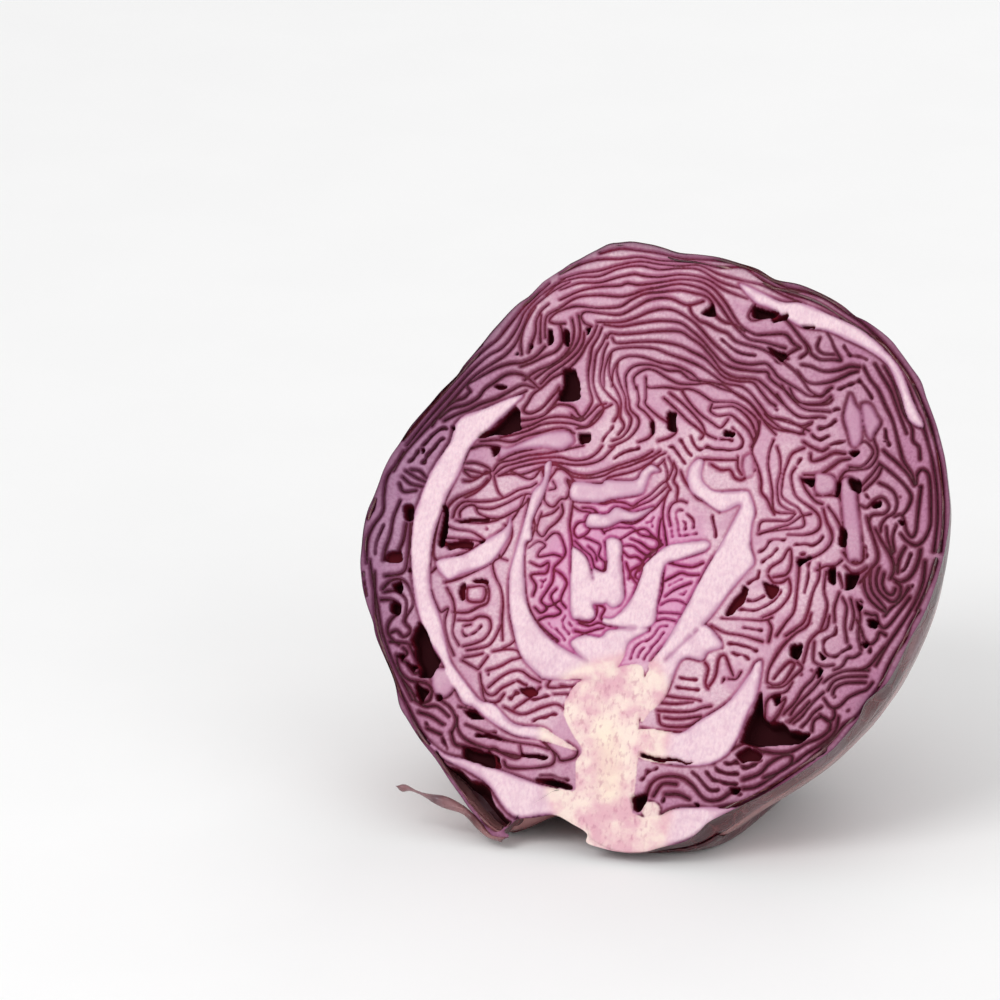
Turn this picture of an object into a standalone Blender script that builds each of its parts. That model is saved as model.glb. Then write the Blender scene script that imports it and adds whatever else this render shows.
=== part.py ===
"""Half a red cabbage, cut down through its stem, lying back on its rounded side.

The head is modelled upright, with its cut face in the plane Y = 0 facing -Y and the stem's
cut end at the bottom. A parent empty then leans it back until its small flat spot is level.
Lengths are in metres and angles in degrees.
"""

import math

import bmesh
import bpy
import numpy as np

# Driving dimensions
FACE_WIDTH = 0.160
HEAD_DEPTH = 0.080
LEAN = 32.0
FLAT_DEPTH = 0.0080
FLAT_MARGIN = 0.0016
LEAF_GAP = 0.0012
WRAPPER_THICKNESS = 0.0011
STUMP_RADIUS = 0.0115
LEAF_STEP = 0.0040
CORE_GAP = 0.0010
CORE_TIP_SHARE = 0.56
RIB_HEIGHT = 0.0026
POCKET_DEPTH = 0.0022
HEART_GROOVE = 0.0020
HEART_FILL = 0.80
FLOOR_CLEARANCE = 0.0006

# How the photograph looks at the cut face, for reading its points
VIEW_AZIMUTH = 16.0
VIEW_ELEVATION = 20.0
OUTLINE_WIDTH_PX = 585.0

# Points of the photograph, in its own pixels
STUMP_PX = (612, 846)
GROWING_POINT_PX = (605, 600)
FACE_CENTRE_PX = (648, 545)
OUTLINE_PX = [
    (690, 841), (760, 800), (830, 752), (890, 684), (930, 604), (944, 530), (935, 450),
    (905, 370), (835, 306), (745, 263), (655, 240), (600, 247), (540, 287), (472, 352),
    (400, 432), (362, 512), (366, 590), (390, 680), (430, 742), (470, 800), (508, 834), (570, 842),
]

# The leaves that the cut goes through, counted from the heart outwards
LEAF_COUNT = 15
HEART_LAYER = 0.20
OUTERMOST_LAYER = 0.930
DEPTH_ANGLES = (0.0, 42.0, 90.0)

# The lower left, where the outermost leaf has come away from the head
PEEL_ANGLE, PEEL_REACH, PEEL_LAYERS = 236.0, 17.0, 0.10

# Thick midribs: leaf number, where it is thickest round the growing point, how far it
# reaches either way along the leaf, and how much thicker than the blade it is
MIDRIBS = [
    (15, 246.0, 36.0, 1.9),
    (14, -66.0, 30.0, 1.9),
    (14, 50.0, 16.0, 1.0),
    (11, 163.0, 62.0, 1.5),
    (8, -44.0, 26.0, 1.6),
    (5, 8.0, 34.0, 2.0),
    (4, 196.0, 58.0, 2.0),
    (2, 84.0, 30.0, 1.0),
]

# Where the packed leaves are turned over in folds: centre in pixels, radius, and turn
FOLDS = [
    ((555, 395), 0.021, 46.0),
    ((590, 455), 0.018, -34.0),
    ((655, 420), 0.020, 44.0),
    ((715, 440), 0.017, -50.0),
    ((770, 395), 0.019, 46.0),
    ((790, 470), 0.020, -60.0),
    ((850, 430), 0.014, 48.0),
    ((842, 520), 0.017, 58.0),
    ((795, 560), 0.018, -44.0),
    ((852, 612), 0.013, -50.0),
    ((805, 640), 0.019, 44.0),
    ((770, 720), 0.016, -48.0),
    ((480, 500), 0.016, -52.0),
    ((465, 585), 0.015, 56.0),
    ((470, 655), 0.014, -54.0),
    ((420, 640), 0.011, 46.0),
    ((500, 740), 0.014, 46.0),
    ((640, 350), 0.019, -30.0),
    ((720, 330), 0.018, 34.0),
]

# The torn strip of outer leaf at the lower left: points along it in pixels, how wide it is
# there, and how far behind the cut face it lies
TORN_STRIP = [
    ((506, 840), 0.0016, 0.0006),
    ((487, 837), 0.0040, 0.0006),
    ((468, 826), 0.0052, 0.0006),
    ((449, 813), 0.0046, 0.0005),
    ((424, 798), 0.0034, 0.0004),
    ((396, 786), 0.0012, 0.0004),
]

# Colour and roughness of each kind of surface
PURPLE_SKIN = ((0.12, 0.02, 0.035, 1.0), 0.35)
PURPLE_FLESH = ((0.42, 0.20, 0.34, 1.0), 0.55)
WHITE_RIB = ((0.83, 0.74, 0.70, 1.0), 0.5)


def rotation_between_face_and_photo():
    """The 2 x 2 matrix that turns steps on the cut face into steps right and up in the photo."""
    azimuth, elevation, lean = map(math.radians, (VIEW_AZIMUTH, VIEW_ELEVATION, LEAN))
    across = (math.cos(azimuth), -math.sin(azimuth) * math.sin(elevation))
    up = (
        math.sin(lean) * math.sin(azimuth),
        math.sin(lean) * math.cos(azimuth) * math.sin(elevation)
        + math.cos(lean) * math.cos(elevation),
    )
    return np.array([across, up]).T


PX = FACE_WIDTH / OUTLINE_WIDTH_PX
PHOTO_TO_FACE = np.linalg.inv(rotation_between_face_and_photo()) * PX


def on_face(pixel):
    """A photo pixel as a point (x, z) of the upright cut face, with the stump's end at zero."""
    step = np.array([pixel[0] - STUMP_PX[0], STUMP_PX[1] - pixel[1]], float)
    return PHOTO_TO_FACE @ step


GROWING_POINT = on_face(GROWING_POINT_PX)
FACE_CENTRE = on_face(FACE_CENTRE_PX)
STEM_ANGLE = math.degrees(math.atan2(-GROWING_POINT[1], -GROWING_POINT[0])) % 360


def outline_radius_table(samples=720):
    """The cut face's radius round the growing point, read off a smooth closed curve."""
    points = np.array([on_face(p) for p in OUTLINE_PX]) - GROWING_POINT
    count = len(points)
    steps = np.linspace(0, count, 12 * count, endpoint=False)
    whole = steps.astype(int)
    part = (steps - whole)[:, None]
    before, start, end, after = (points[(whole + k) % count] for k in (-1, 0, 1, 2))
    curve = 0.5 * (
        2 * start
        + (end - before) * part
        + (2 * before - 5 * start + 4 * end - after) * part**2
        + (3 * start - before - 3 * end + after) * part**3
    )
    angle = np.degrees(np.arctan2(curve[:, 1], curve[:, 0])) % 360
    order = np.argsort(angle)
    wanted = np.linspace(0, 360, samples, endpoint=False)
    radius = np.interp(wanted, angle[order], np.hypot(*curve.T)[order], period=360)
    return wanted, radius


ANGLES, RADII = outline_radius_table()


def outline_radius(angle):
    return np.interp(angle % 360, ANGLES, RADII, period=360)


def dome(angle, depth_angle):
    """Points of the head's outer form, as steps from the growing point, before it is flattened."""
    turn, dip = np.radians(angle), np.radians(depth_angle)
    reach = outline_radius(angle) * np.cos(dip)
    drift = (FACE_CENTRE - GROWING_POINT)[:, None] * (1 - np.cos(dip)).reshape(1, -1)
    flat = np.stack([reach * np.cos(turn), HEAD_DEPTH * np.sin(dip), reach * np.sin(turn)], -1)
    shape = flat.shape
    flat = flat.reshape(-1, 3)
    flat[:, 0] += drift[0]
    flat[:, 2] += drift[1]
    return flat.reshape(shape)


DOWN = np.array([0.0, math.sin(math.radians(LEAN)), -math.cos(math.radians(LEAN))])


def lowest_reach():
    """How far below the growing point the unflattened dome reaches once it leans back."""
    angle, depth_angle = np.meshgrid(np.arange(0, 360, 2.0), np.arange(0, 91, 2.0))
    return float((dome(angle.ravel(), depth_angle.ravel()) @ DOWN).max())


FLOOR_REACH = lowest_reach() - FLAT_DEPTH


def head_form(angle, depth_angle):
    """The outer form with its flat spot, as steps from the growing point."""
    angle, depth_angle = np.broadcast_arrays(angle, depth_angle)
    steps = dome(angle.ravel(), depth_angle.ravel()).reshape(angle.shape + (3,))
    below = steps @ DOWN
    return steps * np.minimum(1, FLOOR_REACH / np.maximum(below, 1e-6))[..., None]


def fold(points):
    """Turns the packed leaves over round each fold's centre. No two leaves can cross in it."""
    folded = points.copy()
    for centre_px, radius, turn in FOLDS:
        centre = on_face(centre_px)
        across, up = folded[..., 0] - centre[0], folded[..., 2] - centre[1]
        near = np.clip(1 - (across**2 + up**2) / radius**2, 0, 1) ** 2
        shallow = np.exp(-((folded[..., 1] / (1.6 * radius)) ** 2))
        angle = math.radians(turn) * near * shallow
        cosine, sine = np.cos(angle), np.sin(angle)
        folded[..., 0] = centre[0] + across * cosine - up * sine
        folded[..., 2] = centre[1] + across * sine + up * cosine
    return folded


def placed(steps):
    """Steps from the growing point as places in the upright head."""
    return steps + np.array([GROWING_POINT[0], 0.0, GROWING_POINT[1]])


def plain_material(name, surface):
    colour, roughness = surface
    made = bpy.data.materials.new(name)
    made.use_nodes = True
    shader = made.node_tree.nodes["Principled BSDF"]
    shader.inputs["Base Color"].default_value = colour
    shader.inputs["Roughness"].default_value = roughness
    shader.inputs["Metallic"].default_value = 0.0
    return made


def mesh_object(name, vertices, faces, surface, parent):
    """A triangulated object with its own material, from points in the upright head."""
    mesh = bpy.data.meshes.new(name)
    mesh.from_pydata([tuple(map(float, v)) for v in vertices], [], faces)
    work = bmesh.new()
    work.from_mesh(mesh)
    bmesh.ops.remove_doubles(work, verts=work.verts, dist=1e-6)
    bmesh.ops.triangulate(work, faces=work.faces)
    bmesh.ops.recalc_face_normals(work, faces=work.faces)
    work.to_mesh(mesh)
    work.free()
    mesh.shade_smooth()
    mesh.set_sharp_from_angle(angle=math.radians(40))
    mesh.materials.append(plain_material(f"{name}_surface", surface))
    made = bpy.data.objects.new(name, mesh)
    made.parent = parent
    bpy.context.scene.collection.objects.link(made)
    return made


def shell(outer, inner):
    """Vertices and faces of a closed sheet between two grids of points of the same shape."""
    rows, columns = outer.shape[:2]
    vertices = np.concatenate([outer.reshape(-1, 3), inner.reshape(-1, 3)])

    def at(side, row, column):
        return side * rows * columns + row * columns + column

    faces = []
    for row in range(rows - 1):
        for column in range(columns - 1):
            square = [(row, column), (row, column + 1), (row + 1, column + 1), (row + 1, column)]
            for side in (0, 1):
                a, b, c, d = (at(side, *corner) for corner in square)
                faces += [(a, b, c), (a, c, d)]
    rim = [(0, c) for c in range(columns)] + [(r, columns - 1) for r in range(1, rows)]
    rim += [(rows - 1, c) for c in range(columns - 2, -1, -1)]
    rim += [(r, 0) for r in range(rows - 2, 0, -1)]
    for here, ahead in zip(rim, rim[1:] + rim[:1]):
        faces.append((at(0, *here), at(0, *ahead), at(1, *ahead), at(1, *here)))
    return vertices, faces


def near(angle, peak, reach):
    """1 at an angle, falling to 0 some way to either side of it."""
    away = (angle - peak + 180) % 360 - 180
    return np.exp(-((away / reach) ** 2))


def blade_weights(angle, fade):
    """How thick each leaf is at an angle, against the others."""
    weights = np.ones((LEAF_COUNT,) + angle.shape)
    for leaf, peak, reach, extra in MIDRIBS:
        weights[leaf - 1] += fade * extra * near(angle, peak, 0.55 * reach)
    return weights


def layer_edges(angle, depth_angle=0.0):
    """The layer number, from 0 at the growing point to 1 outside, of each leaf's two faces."""
    fade = abs(math.cos(math.radians(depth_angle)))
    stacked = np.cumsum(blade_weights(angle, fade), axis=0)
    stacked = np.concatenate([np.zeros((1,) + angle.shape), stacked])
    outermost = OUTERMOST_LAYER - PEEL_LAYERS * near(angle, PEEL_ANGLE, PEEL_REACH) * fade**3
    return HEART_LAYER + (outermost - HEART_LAYER) * stacked / stacked[-1]


def pocket(angle, leaf, depth_angle):
    """Extra room between two leaves, which opens and shuts along them and ends deeper in."""
    turn = np.radians(angle)
    wave = np.sin(3 * turn + 1.7 * leaf) + np.sin(5 * turn - 2.3 * leaf + 1)
    return POCKET_DEPTH * np.clip(wave - 0.9, 0, 1) * abs(math.cos(math.radians(depth_angle)))


def core_radius(layer):
    """The stem's radius where a leaf of this layer leaves it."""
    return STUMP_RADIUS * (CORE_TIP_SHARE + (1 - CORE_TIP_SHARE) * layer)


def foot_angle(leaf, side, depth_angle):
    """How far to either side of the stem a leaf's face starts, so that it clears the core."""
    layer = float(layer_edges(np.array([STEM_ANGLE]), depth_angle)[leaf - 1 + side, 0])
    depth = layer * HEAD_DEPTH * math.sin(math.radians(depth_angle))
    radius = core_radius(layer)
    clearance = max(math.sqrt(max(radius**2 - depth**2, 0)), 0.62 * radius) + CORE_GAP
    reach = layer * float(outline_radius(np.array(STEM_ANGLE)))
    reach *= max(math.cos(math.radians(depth_angle)), 0.2)
    return math.degrees(math.asin(min(0.93, clearance / reach)))


def leaf_curve(leaf, side, share, depth_angle):
    """Points along one face of a leaf, from its foot on the stem's right to its left."""
    clear = foot_angle(leaf, side, depth_angle)
    angle = STEM_ANGLE + clear + (360.0 - 2 * clear) * share
    form = head_form(angle, np.full(len(share), depth_angle))
    hidden = math.sin(math.radians(depth_angle))
    room = LEAF_GAP * (0.5 + 0.9 * hidden) + pocket(angle, leaf - 1 + side, depth_angle) / 2
    inward = (room if side == 0 else -room) / np.linalg.norm(form, axis=-1)
    layer = layer_edges(angle, depth_angle)[leaf - 1 + side] + inward
    return fold(placed(form * layer[:, None]))


def even_shares(leaf):
    """Shares of the way along a leaf that lie evenly on its folded line at the cut face."""
    share = np.linspace(0, 1, 600)
    line = (leaf_curve(leaf, 0, share, 0.0) + leaf_curve(leaf, 1, share, 0.0)) / 2
    travelled = np.concatenate([[0], np.cumsum(np.linalg.norm(np.diff(line, axis=0), axis=1))])
    count = int(travelled[-1] / LEAF_STEP) + 1
    return np.interp(np.linspace(0, travelled[-1], count), travelled, share)


def cut_leaf(leaf, parent):
    """One of the nested leaves: a cup round the growing point, open where the knife went."""
    share = even_shares(leaf)
    outer = np.array([leaf_curve(leaf, 1, share, depth_angle) for depth_angle in DEPTH_ANGLES])
    inner = np.array([leaf_curve(leaf, 0, share, depth_angle) for depth_angle in DEPTH_ANGLES])
    vertices, faces = shell(outer, inner)
    return mesh_object(f"leaf_{leaf:02d}", vertices, faces, PURPLE_FLESH, parent)


def wrapper_leaf(name, parent, compass, layer, length, half_width, wave_seed):
    """A thin outer leaf: a patch that starts at the stem and hugs the head, with a raised midrib."""
    rows, columns = 18, 13
    start = 22.0
    bearing = math.radians(compass)
    towards = np.array([math.cos(bearing), math.sin(bearing), 0.0])
    sideways = np.array([-math.sin(bearing), math.cos(bearing), 0.0])
    stem = np.array([0.0, 0.0, -1.0])
    along = np.linspace(0, 1, rows)[:, None]
    across = np.linspace(-1, 1, columns)[None, :]
    widest = half_width * (0.30 + 0.70 * np.sin(np.pi * np.clip(0.10 + 0.72 * along, 0, 1)) ** 0.8)
    ripple = 1 + 0.05 * np.sin(9 * along * np.pi + wave_seed) * np.abs(across) ** 3
    reach = np.radians(start + (length - start) * along - 14 * along**3 * across**2)
    spread = np.radians(widest * across * ripple)
    direction = (
        np.cos(spread)[..., None] * (np.cos(reach)[..., None] * stem + np.sin(reach)[..., None] * towards)
        + np.sin(spread)[..., None] * sideways
    )
    angle = np.degrees(np.arctan2(direction[..., 2], direction[..., 0]))
    depth_angle = np.degrees(np.arcsin(np.clip(direction[..., 1], -1, 1)))
    form = head_form(angle, depth_angle)
    size = np.linalg.norm(form, axis=-1)
    level = (form @ DOWN) > FLOOR_REACH - 1e-4
    rib = RIB_HEIGHT * (1 - along) ** 1.3 * np.exp(-((across * widest / 6.0) ** 2))
    rib = rib * np.clip(along / 0.3, 0, 1)
    rib = np.where(level, 0.0, rib)
    outward = form * (layer + rib / size)[..., None]
    below = outward @ DOWN
    resting = below > FLOOR_REACH - FLAT_MARGIN if layer == 1 else np.zeros(below.shape, bool)
    outer = placed(outward * np.where(resting, FLOOR_REACH / np.maximum(below, 1e-6), 1)[..., None])
    inner = placed(form * (layer - WRAPPER_THICKNESS / size)[..., None])
    vertices, faces = shell(outer, inner)
    made = mesh_object(name, vertices, faces, PURPLE_SKIN, parent)
    keep_behind_the_knife(made)
    return made


def keep_behind_the_knife(made):
    """Cuts an object off at the cut face and closes it there, as the knife did."""
    work = bmesh.new()
    work.from_mesh(made.data)
    geometry = work.verts[:] + work.edges[:] + work.faces[:]
    cut = bmesh.ops.bisect_plane(
        work, geom=geometry, dist=1e-7, plane_co=(0, 0, 0), plane_no=(0, -1, 0), clear_outer=True
    )
    edges = [e for e in cut["geom_cut"] if isinstance(e, bmesh.types.BMEdge)]
    bmesh.ops.holes_fill(work, edges=edges)
    bmesh.ops.triangulate(work, faces=work.faces)
    bmesh.ops.recalc_face_normals(work, faces=work.faces)
    work.to_mesh(made.data)
    work.free()


def core(parent):
    """The white stem: a half-round column, wider at the stump and at each leaf's foot."""
    rows, columns = 18, 9
    bearing = np.radians(np.linspace(0, 180, columns))
    rings = []
    for share in np.linspace(0, 1, rows):
        height = share * (1 - HEART_LAYER)
        radius = core_radius(1 - height) * (0.97 + 0.03 * math.cos(share * 9 * math.pi))
        radius *= math.sqrt(min(1.0, 9 * (1.04 - share)))
        centre = GROWING_POINT * height
        ring = [centre[0] + radius * np.cos(bearing), radius * np.sin(bearing), np.full(columns, centre[1])]
        rings.append(np.stack(ring, -1))
    back = np.array(rings)[:, 1:-1]
    front = back.copy()
    front[..., 1] = 0
    for side in (back, front):
        down = FLOOR_REACH - FLOOR_CLEARANCE - side[..., 1] * DOWN[1]
        side[..., 2] = np.maximum(side[..., 2], GROWING_POINT[1] + down / DOWN[2])
    vertices, faces = shell(back, front)
    return mesh_object("core", vertices, faces, WHITE_RIB, parent)


def heart_leaves(parent):
    """The youngest leaves: a small crumpled knot, with its grooves cut across by the knife."""
    rows, columns = 9, 44
    turn = np.linspace(0, 2 * math.pi, columns, endpoint=False)
    share = np.linspace(0.12, 1, rows)[:, None]
    edge = outline_radius(np.degrees(turn)) * (HEART_LAYER * HEART_FILL)
    edge *= 1 + 0.05 * np.sin(7 * turn) + 0.03 * np.sin(11 * turn + 1)
    across, up = share * edge * np.cos(turn), share * edge * np.sin(turn)
    groove = np.sin(9 * share * math.pi + 2.4 * np.sin(3 * turn) + 1.2 * np.sin(5 * turn + 2))
    front_depth = HEART_GROOVE * np.clip(groove - 0.25, 0, 1) * np.clip(4 * (1 - share), 0, 1)
    back_depth = HEART_FILL * HEART_LAYER * HEAD_DEPTH * np.sqrt(np.clip(1.03 - share**2, 0, 1))
    back_depth = back_depth + 0.0 * turn
    front = np.stack([across, front_depth, up], -1)
    back = np.stack([across, back_depth, up], -1)
    vertices = placed(np.concatenate([front.reshape(-1, 3), back.reshape(-1, 3)]))
    middle = placed(np.array([[0.0, 0.0, 0.0], [0.0, float(back_depth[0, 0]), 0.0]]))
    vertices = np.concatenate([vertices, middle])
    faces = []
    for column in range(columns):
        ahead = (column + 1) % columns
        for side in (0, 1):
            base = side * rows * columns
            faces.append((2 * rows * columns + side, base + column, base + ahead))
            for row in range(rows - 1):
                low, high = base + row * columns, base + (row + 1) * columns
                faces.append((low + column, high + column, high + ahead, low + ahead))
        rim = (rows - 1) * columns
        faces.append((rim + column, rim + ahead, rows * columns + rim + ahead, rows * columns + rim + column))
    return mesh_object("heart_leaves", vertices, faces, PURPLE_FLESH, parent)


def torn_leaf(parent):
    """The torn strip of an outer leaf that sticks out beside the stump."""
    middle = np.array([on_face(pixel) for pixel, _, _ in TORN_STRIP])
    width = np.array([w for _, w, _ in TORN_STRIP])
    depth = np.array([d for _, _, d in TORN_STRIP])
    coarse = np.linspace(0, 1, len(middle))
    fine = np.linspace(0, 1, 3 * len(middle))
    middle = np.stack([np.interp(fine, coarse, middle[:, k]) for k in (0, 1)], -1)
    width, depth = np.interp(fine, coarse, width), np.interp(fine, coarse, depth)
    heading = np.gradient(middle, axis=0)
    heading /= np.linalg.norm(heading, axis=1)[:, None]
    side = np.stack([-heading[:, 1], heading[:, 0]], -1)
    rows = []
    for across in np.linspace(-0.5, 0.5, 5):
        place = middle + side * (across * width)[:, None]
        curl = 0.12 * width * (1 - 4 * across**2)
        rows.append(np.stack([place[:, 0], depth + curl, place[:, 1]], -1))
    front = np.array(rows)
    back = front + np.array([0.0, WRAPPER_THICKNESS, 0.0])
    vertices, faces = shell(back, front)
    return mesh_object("torn_leaf", vertices, faces, PURPLE_SKIN, parent)


def set_down(head, made):
    """Leans the head back, rests it on its flat spot and centres it over the origin."""
    head.rotation_euler = (math.radians(-LEAN), 0, 0)
    bpy.context.view_layer.update()
    places = np.array([list(o.matrix_world @ v.co) for o in made for v in o.data.vertices])
    low, high = places.min(axis=0), places.max(axis=0)
    head.location = (-(low[0] + high[0]) / 2, -(low[1] + high[1]) / 2, -low[2])


def main():
    for old in list(bpy.data.objects):
        bpy.data.objects.remove(old)
    head = bpy.data.objects.new("half_head", None)
    bpy.context.scene.collection.objects.link(head)
    made = [core(head), heart_leaves(head)]
    for leaf in range(1, LEAF_COUNT + 1):
        made.append(cut_leaf(leaf, head))
    made.append(wrapper_leaf("wrapper_leaf_left", head, 168, 0.960, 172, 62, 0.4))
    made.append(wrapper_leaf("wrapper_leaf_right", head, 12, 0.960, 172, 62, 2.1))
    made.append(wrapper_leaf("wrapper_leaf_back", head, 88, 1.0, 168, 58, 4.0))
    made.append(torn_leaf(head))
    set_down(head, made)


main()
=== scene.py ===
"""How half a red cabbage looks: its cut face, its stem and the wrapper leaves behind it.

The face is drawn from seams, ribs and hollows given in pixels of the photograph. Between them
its folds are grown by a reaction that keeps their usual spacing. Lengths are in metres.
"""

import math

import bmesh
import bpy
import numpy as np
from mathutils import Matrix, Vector


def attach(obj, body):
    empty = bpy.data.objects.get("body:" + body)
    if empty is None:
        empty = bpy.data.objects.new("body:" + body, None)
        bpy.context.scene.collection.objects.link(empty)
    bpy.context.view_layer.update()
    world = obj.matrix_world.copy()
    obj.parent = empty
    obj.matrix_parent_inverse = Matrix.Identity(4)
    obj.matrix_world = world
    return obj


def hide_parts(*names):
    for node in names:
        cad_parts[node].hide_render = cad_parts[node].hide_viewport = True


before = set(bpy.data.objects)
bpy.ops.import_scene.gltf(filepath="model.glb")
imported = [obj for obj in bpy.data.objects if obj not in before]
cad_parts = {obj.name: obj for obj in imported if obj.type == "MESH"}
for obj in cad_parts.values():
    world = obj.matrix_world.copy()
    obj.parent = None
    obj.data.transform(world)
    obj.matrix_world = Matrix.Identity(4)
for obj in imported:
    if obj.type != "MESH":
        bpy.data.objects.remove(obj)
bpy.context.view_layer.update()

# The cut edge of the face, clockwise from the top
CUT_EDGE = [
    (600,246),(610,241),(620,240),(632,239),(645,241),(655,243),(665,246),(680,251),(700,253),(720,256),
    (740,262),(758,268),
    (772,277),(780,280),(800,284),(823,294),(840,304),(854,315),(866,321),(880,331),(891,341),(900,353),
    (909,366),(919,381),
    (924,397),(929,411),(934,426),(939,446),(942,461),(944,480),(946,507),(944,530),(938,560),(927,595),
    (916,619),(904,640),
    (896,657),(883,680),(871,691),(861,700),(854,716),(844,729),(829,746),(814,757),(800,767),(780,780),
    (757,793),(743,800),
    (721,811),(706,819),(699,826),(691,833),(680,839),(660,844),(641,849),(620,849),(600,845),(586,840),
    (586,831),(572,822),
    (553,813),(534,816),(519,817),(511,823),(504,830),(509,834),(503,838),(496,837),(489,831),(481,821),
    (470,809),(461,796),
    (450,781),(436,760),(420,740),(407,720),(399,706),(393,680),(376,640),(372,623),(366,606),(362,591),
    (360,577),(359,563),
    (360,549),(362,529),(366,511),(372,497),(377,484),(382,470),(389,456),(398,443),(409,426),(420,413),
    (429,403),(439,391),
    (447,383),(457,373),(463,364),(474,351),(484,339),(491,330),(500,320),(511,308),(520,300),(529,294),
    (537,286),(544,279),
    (556,271),(564,266),(571,261),(581,256),(590,251),
]

# Dark seams, where one leaf's skin lies against the next
CROWN = [
    [(600,250),(620,245),(640,247),(660,250),(680,255),(700,257),(725,259),(745,264),(765,274),(785,285),
     (805,290),(825,297),(842,309),(860,321),(876,336),(890,352),(904,371),(915,392),(924,414),(931,437),
     (936,462),(939,490),(939,520),(936,550)],
    [(560,271),(580,261),(600,256),(620,255.5),(640,253.5),(660,257),(680,258.5),(700,260.5),(720,265),
     (743,265),(755,272),(770,282),(790,292),(812,299),(832,310),(850,322),(866,333),(880,346),(893,363),
     (905,384),(914,408),(922,432),(929,460),(933,490),(933,520),(929,550)],
    [(560,276),(580,270),(600,267.5),(620,261.5),(640,258),(660,261),(680,263),(700,263),(720,272),
     (745,279),(765,284),(785,294),(805,303),(828,316),(848,328),(864,340),(878,354)],
    [(545,292),(560,280),(580,274),(600,273),(620,265),(640,262.5),(660,266.5),(680,265.5),(700,267.5),
     (720,279),(740,286),(760,293),(780,299)],
    [(560,287),(580,280),(600,279.5),(620,274),(635,271),(645,273),(660,274),(680,272),(700,274.5),
     (712,279),(722,286),(735,292),(748,297)],
    [(560,297),(580,288),(600,284),(620,283),(628,280.5),(640,282),(660,279.5),(680,277),(700,279),
     (712,285),(720,293),(728,304),(735,316),(742,325),(755,333),(768,333),(785,333),(793,342),(800,347)],
    [(545,335),(545,320),(548,312),(560,305),(572,297),(582,293.5),(600,292.5),(620,294),(632,292),
     (645,287),(660,284.5),(680,281.5),(700,285.5),(710,291),(720,303),(730,318),(740,330),(750,338),
     (765,341),(785,347)],
    [(565,321),(555,321),(549,318),(556,310),(570,304.5),(580,303.5),(600,305.5),(620,304),(632,297),
     (645,291),(660,289.5),(680,288),(695,291),(706,294),(712,300),(715,312),(724,320),(735,323),(745,330)],
    [(592,324),(584,320),(581,313),(586,309),(600,310.5),(620,312),(635,305),(648,298),(660,295.5),
     (672,296.5),(684,302),(690,303),(698,301),(704,299)],
    [(690,303),(692,311),(700,319),(708,322),(718,328),(728,332),(735,339),(745,343),(760,347),(775,354),
     (788,358)],
    [(597,319.5),(620,319.5),(635,315.5),(648,310),(660,307),(672,307.5),(684,313),(696,322),(706,333),
     (714,342),(725,352),(735,360),(750,363),(765,362),(772,368),(778,376),(790,384),(800,390),(808,395),
     (820,395),(828,390)],
    [(604,322),(620,324),(640,321),(660,318.5),(680,320.5),(692,329),(702,338),(712,350),(722,361),
     (735,367),(755,370),(767,371),(770,378),(785,390),(795,400),(808,403),(822,402),(830,396)],
    [(607,336),(610,331),(620,332),(640,331),(660,329),(680,329.5),(692,337),(702,344),(712,356),(722,369),
     (735,376),(755,378),(765,385),(775,395),(790,410),(800,416),(815,417)],
    [(612,335),(617,341),(640,340),(660,340),(680,344),(692,350),(705,357),(715,367),(724,376),(738,380),
     (752,381),(760,390),(768,400),(775,405)],
    [(604,385),(604,372),(606,362),(610,352),(617,347),(635,345.5),(655,347),(668,352),(685,358),(700,365),
     (712,373),(725,382),(740,385),(750,392),(758,402),(768,415),(780,419),(795,424),(808,430)],
    [(612,385),(613,370),(619,359),(630,354.5),(645,356),(660,361),(675,364),(690,371),(700,379),(712,381),
     (725,385),(738,395),(750,403),(762,418),(775,428),(790,431),(803,433)],
    [(626,385),(626,374),(632,366),(642,363),(655,364),(668,369),(680,370),(690,378),(700,380)],
    [(636,388),(634,376),(645,368),(655,369),(668,377),(680,382.5),(695,383),(708,382),(720,387),(735,392),
     (748,400),(758,412),(766,424),(775,434)],
    [(646,376),(648,386),(665,386),(680,388),(690,388),(700,392),(712,400),(722,401),(735,402),(748,410),
     (757,420),(757,432),(752,440)],
    [(682,390),(690,402),(700,413),(712,422),(720,427),(726,421),(728,418)],
    [(664,397),(676,408),(688,420),(697,427),(703,434),(700,438)],
    [(670,392),(682,402),(694,414),(702,424),(706,433),(716,438)],
    [(712,403),(710,410),(718,415),(730,414),(738,420),(748,430),(753,442)],
    [(713,407),(724,406),(734,406),(745,414),(752,424),(755,436),(750,446)],
]
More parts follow.
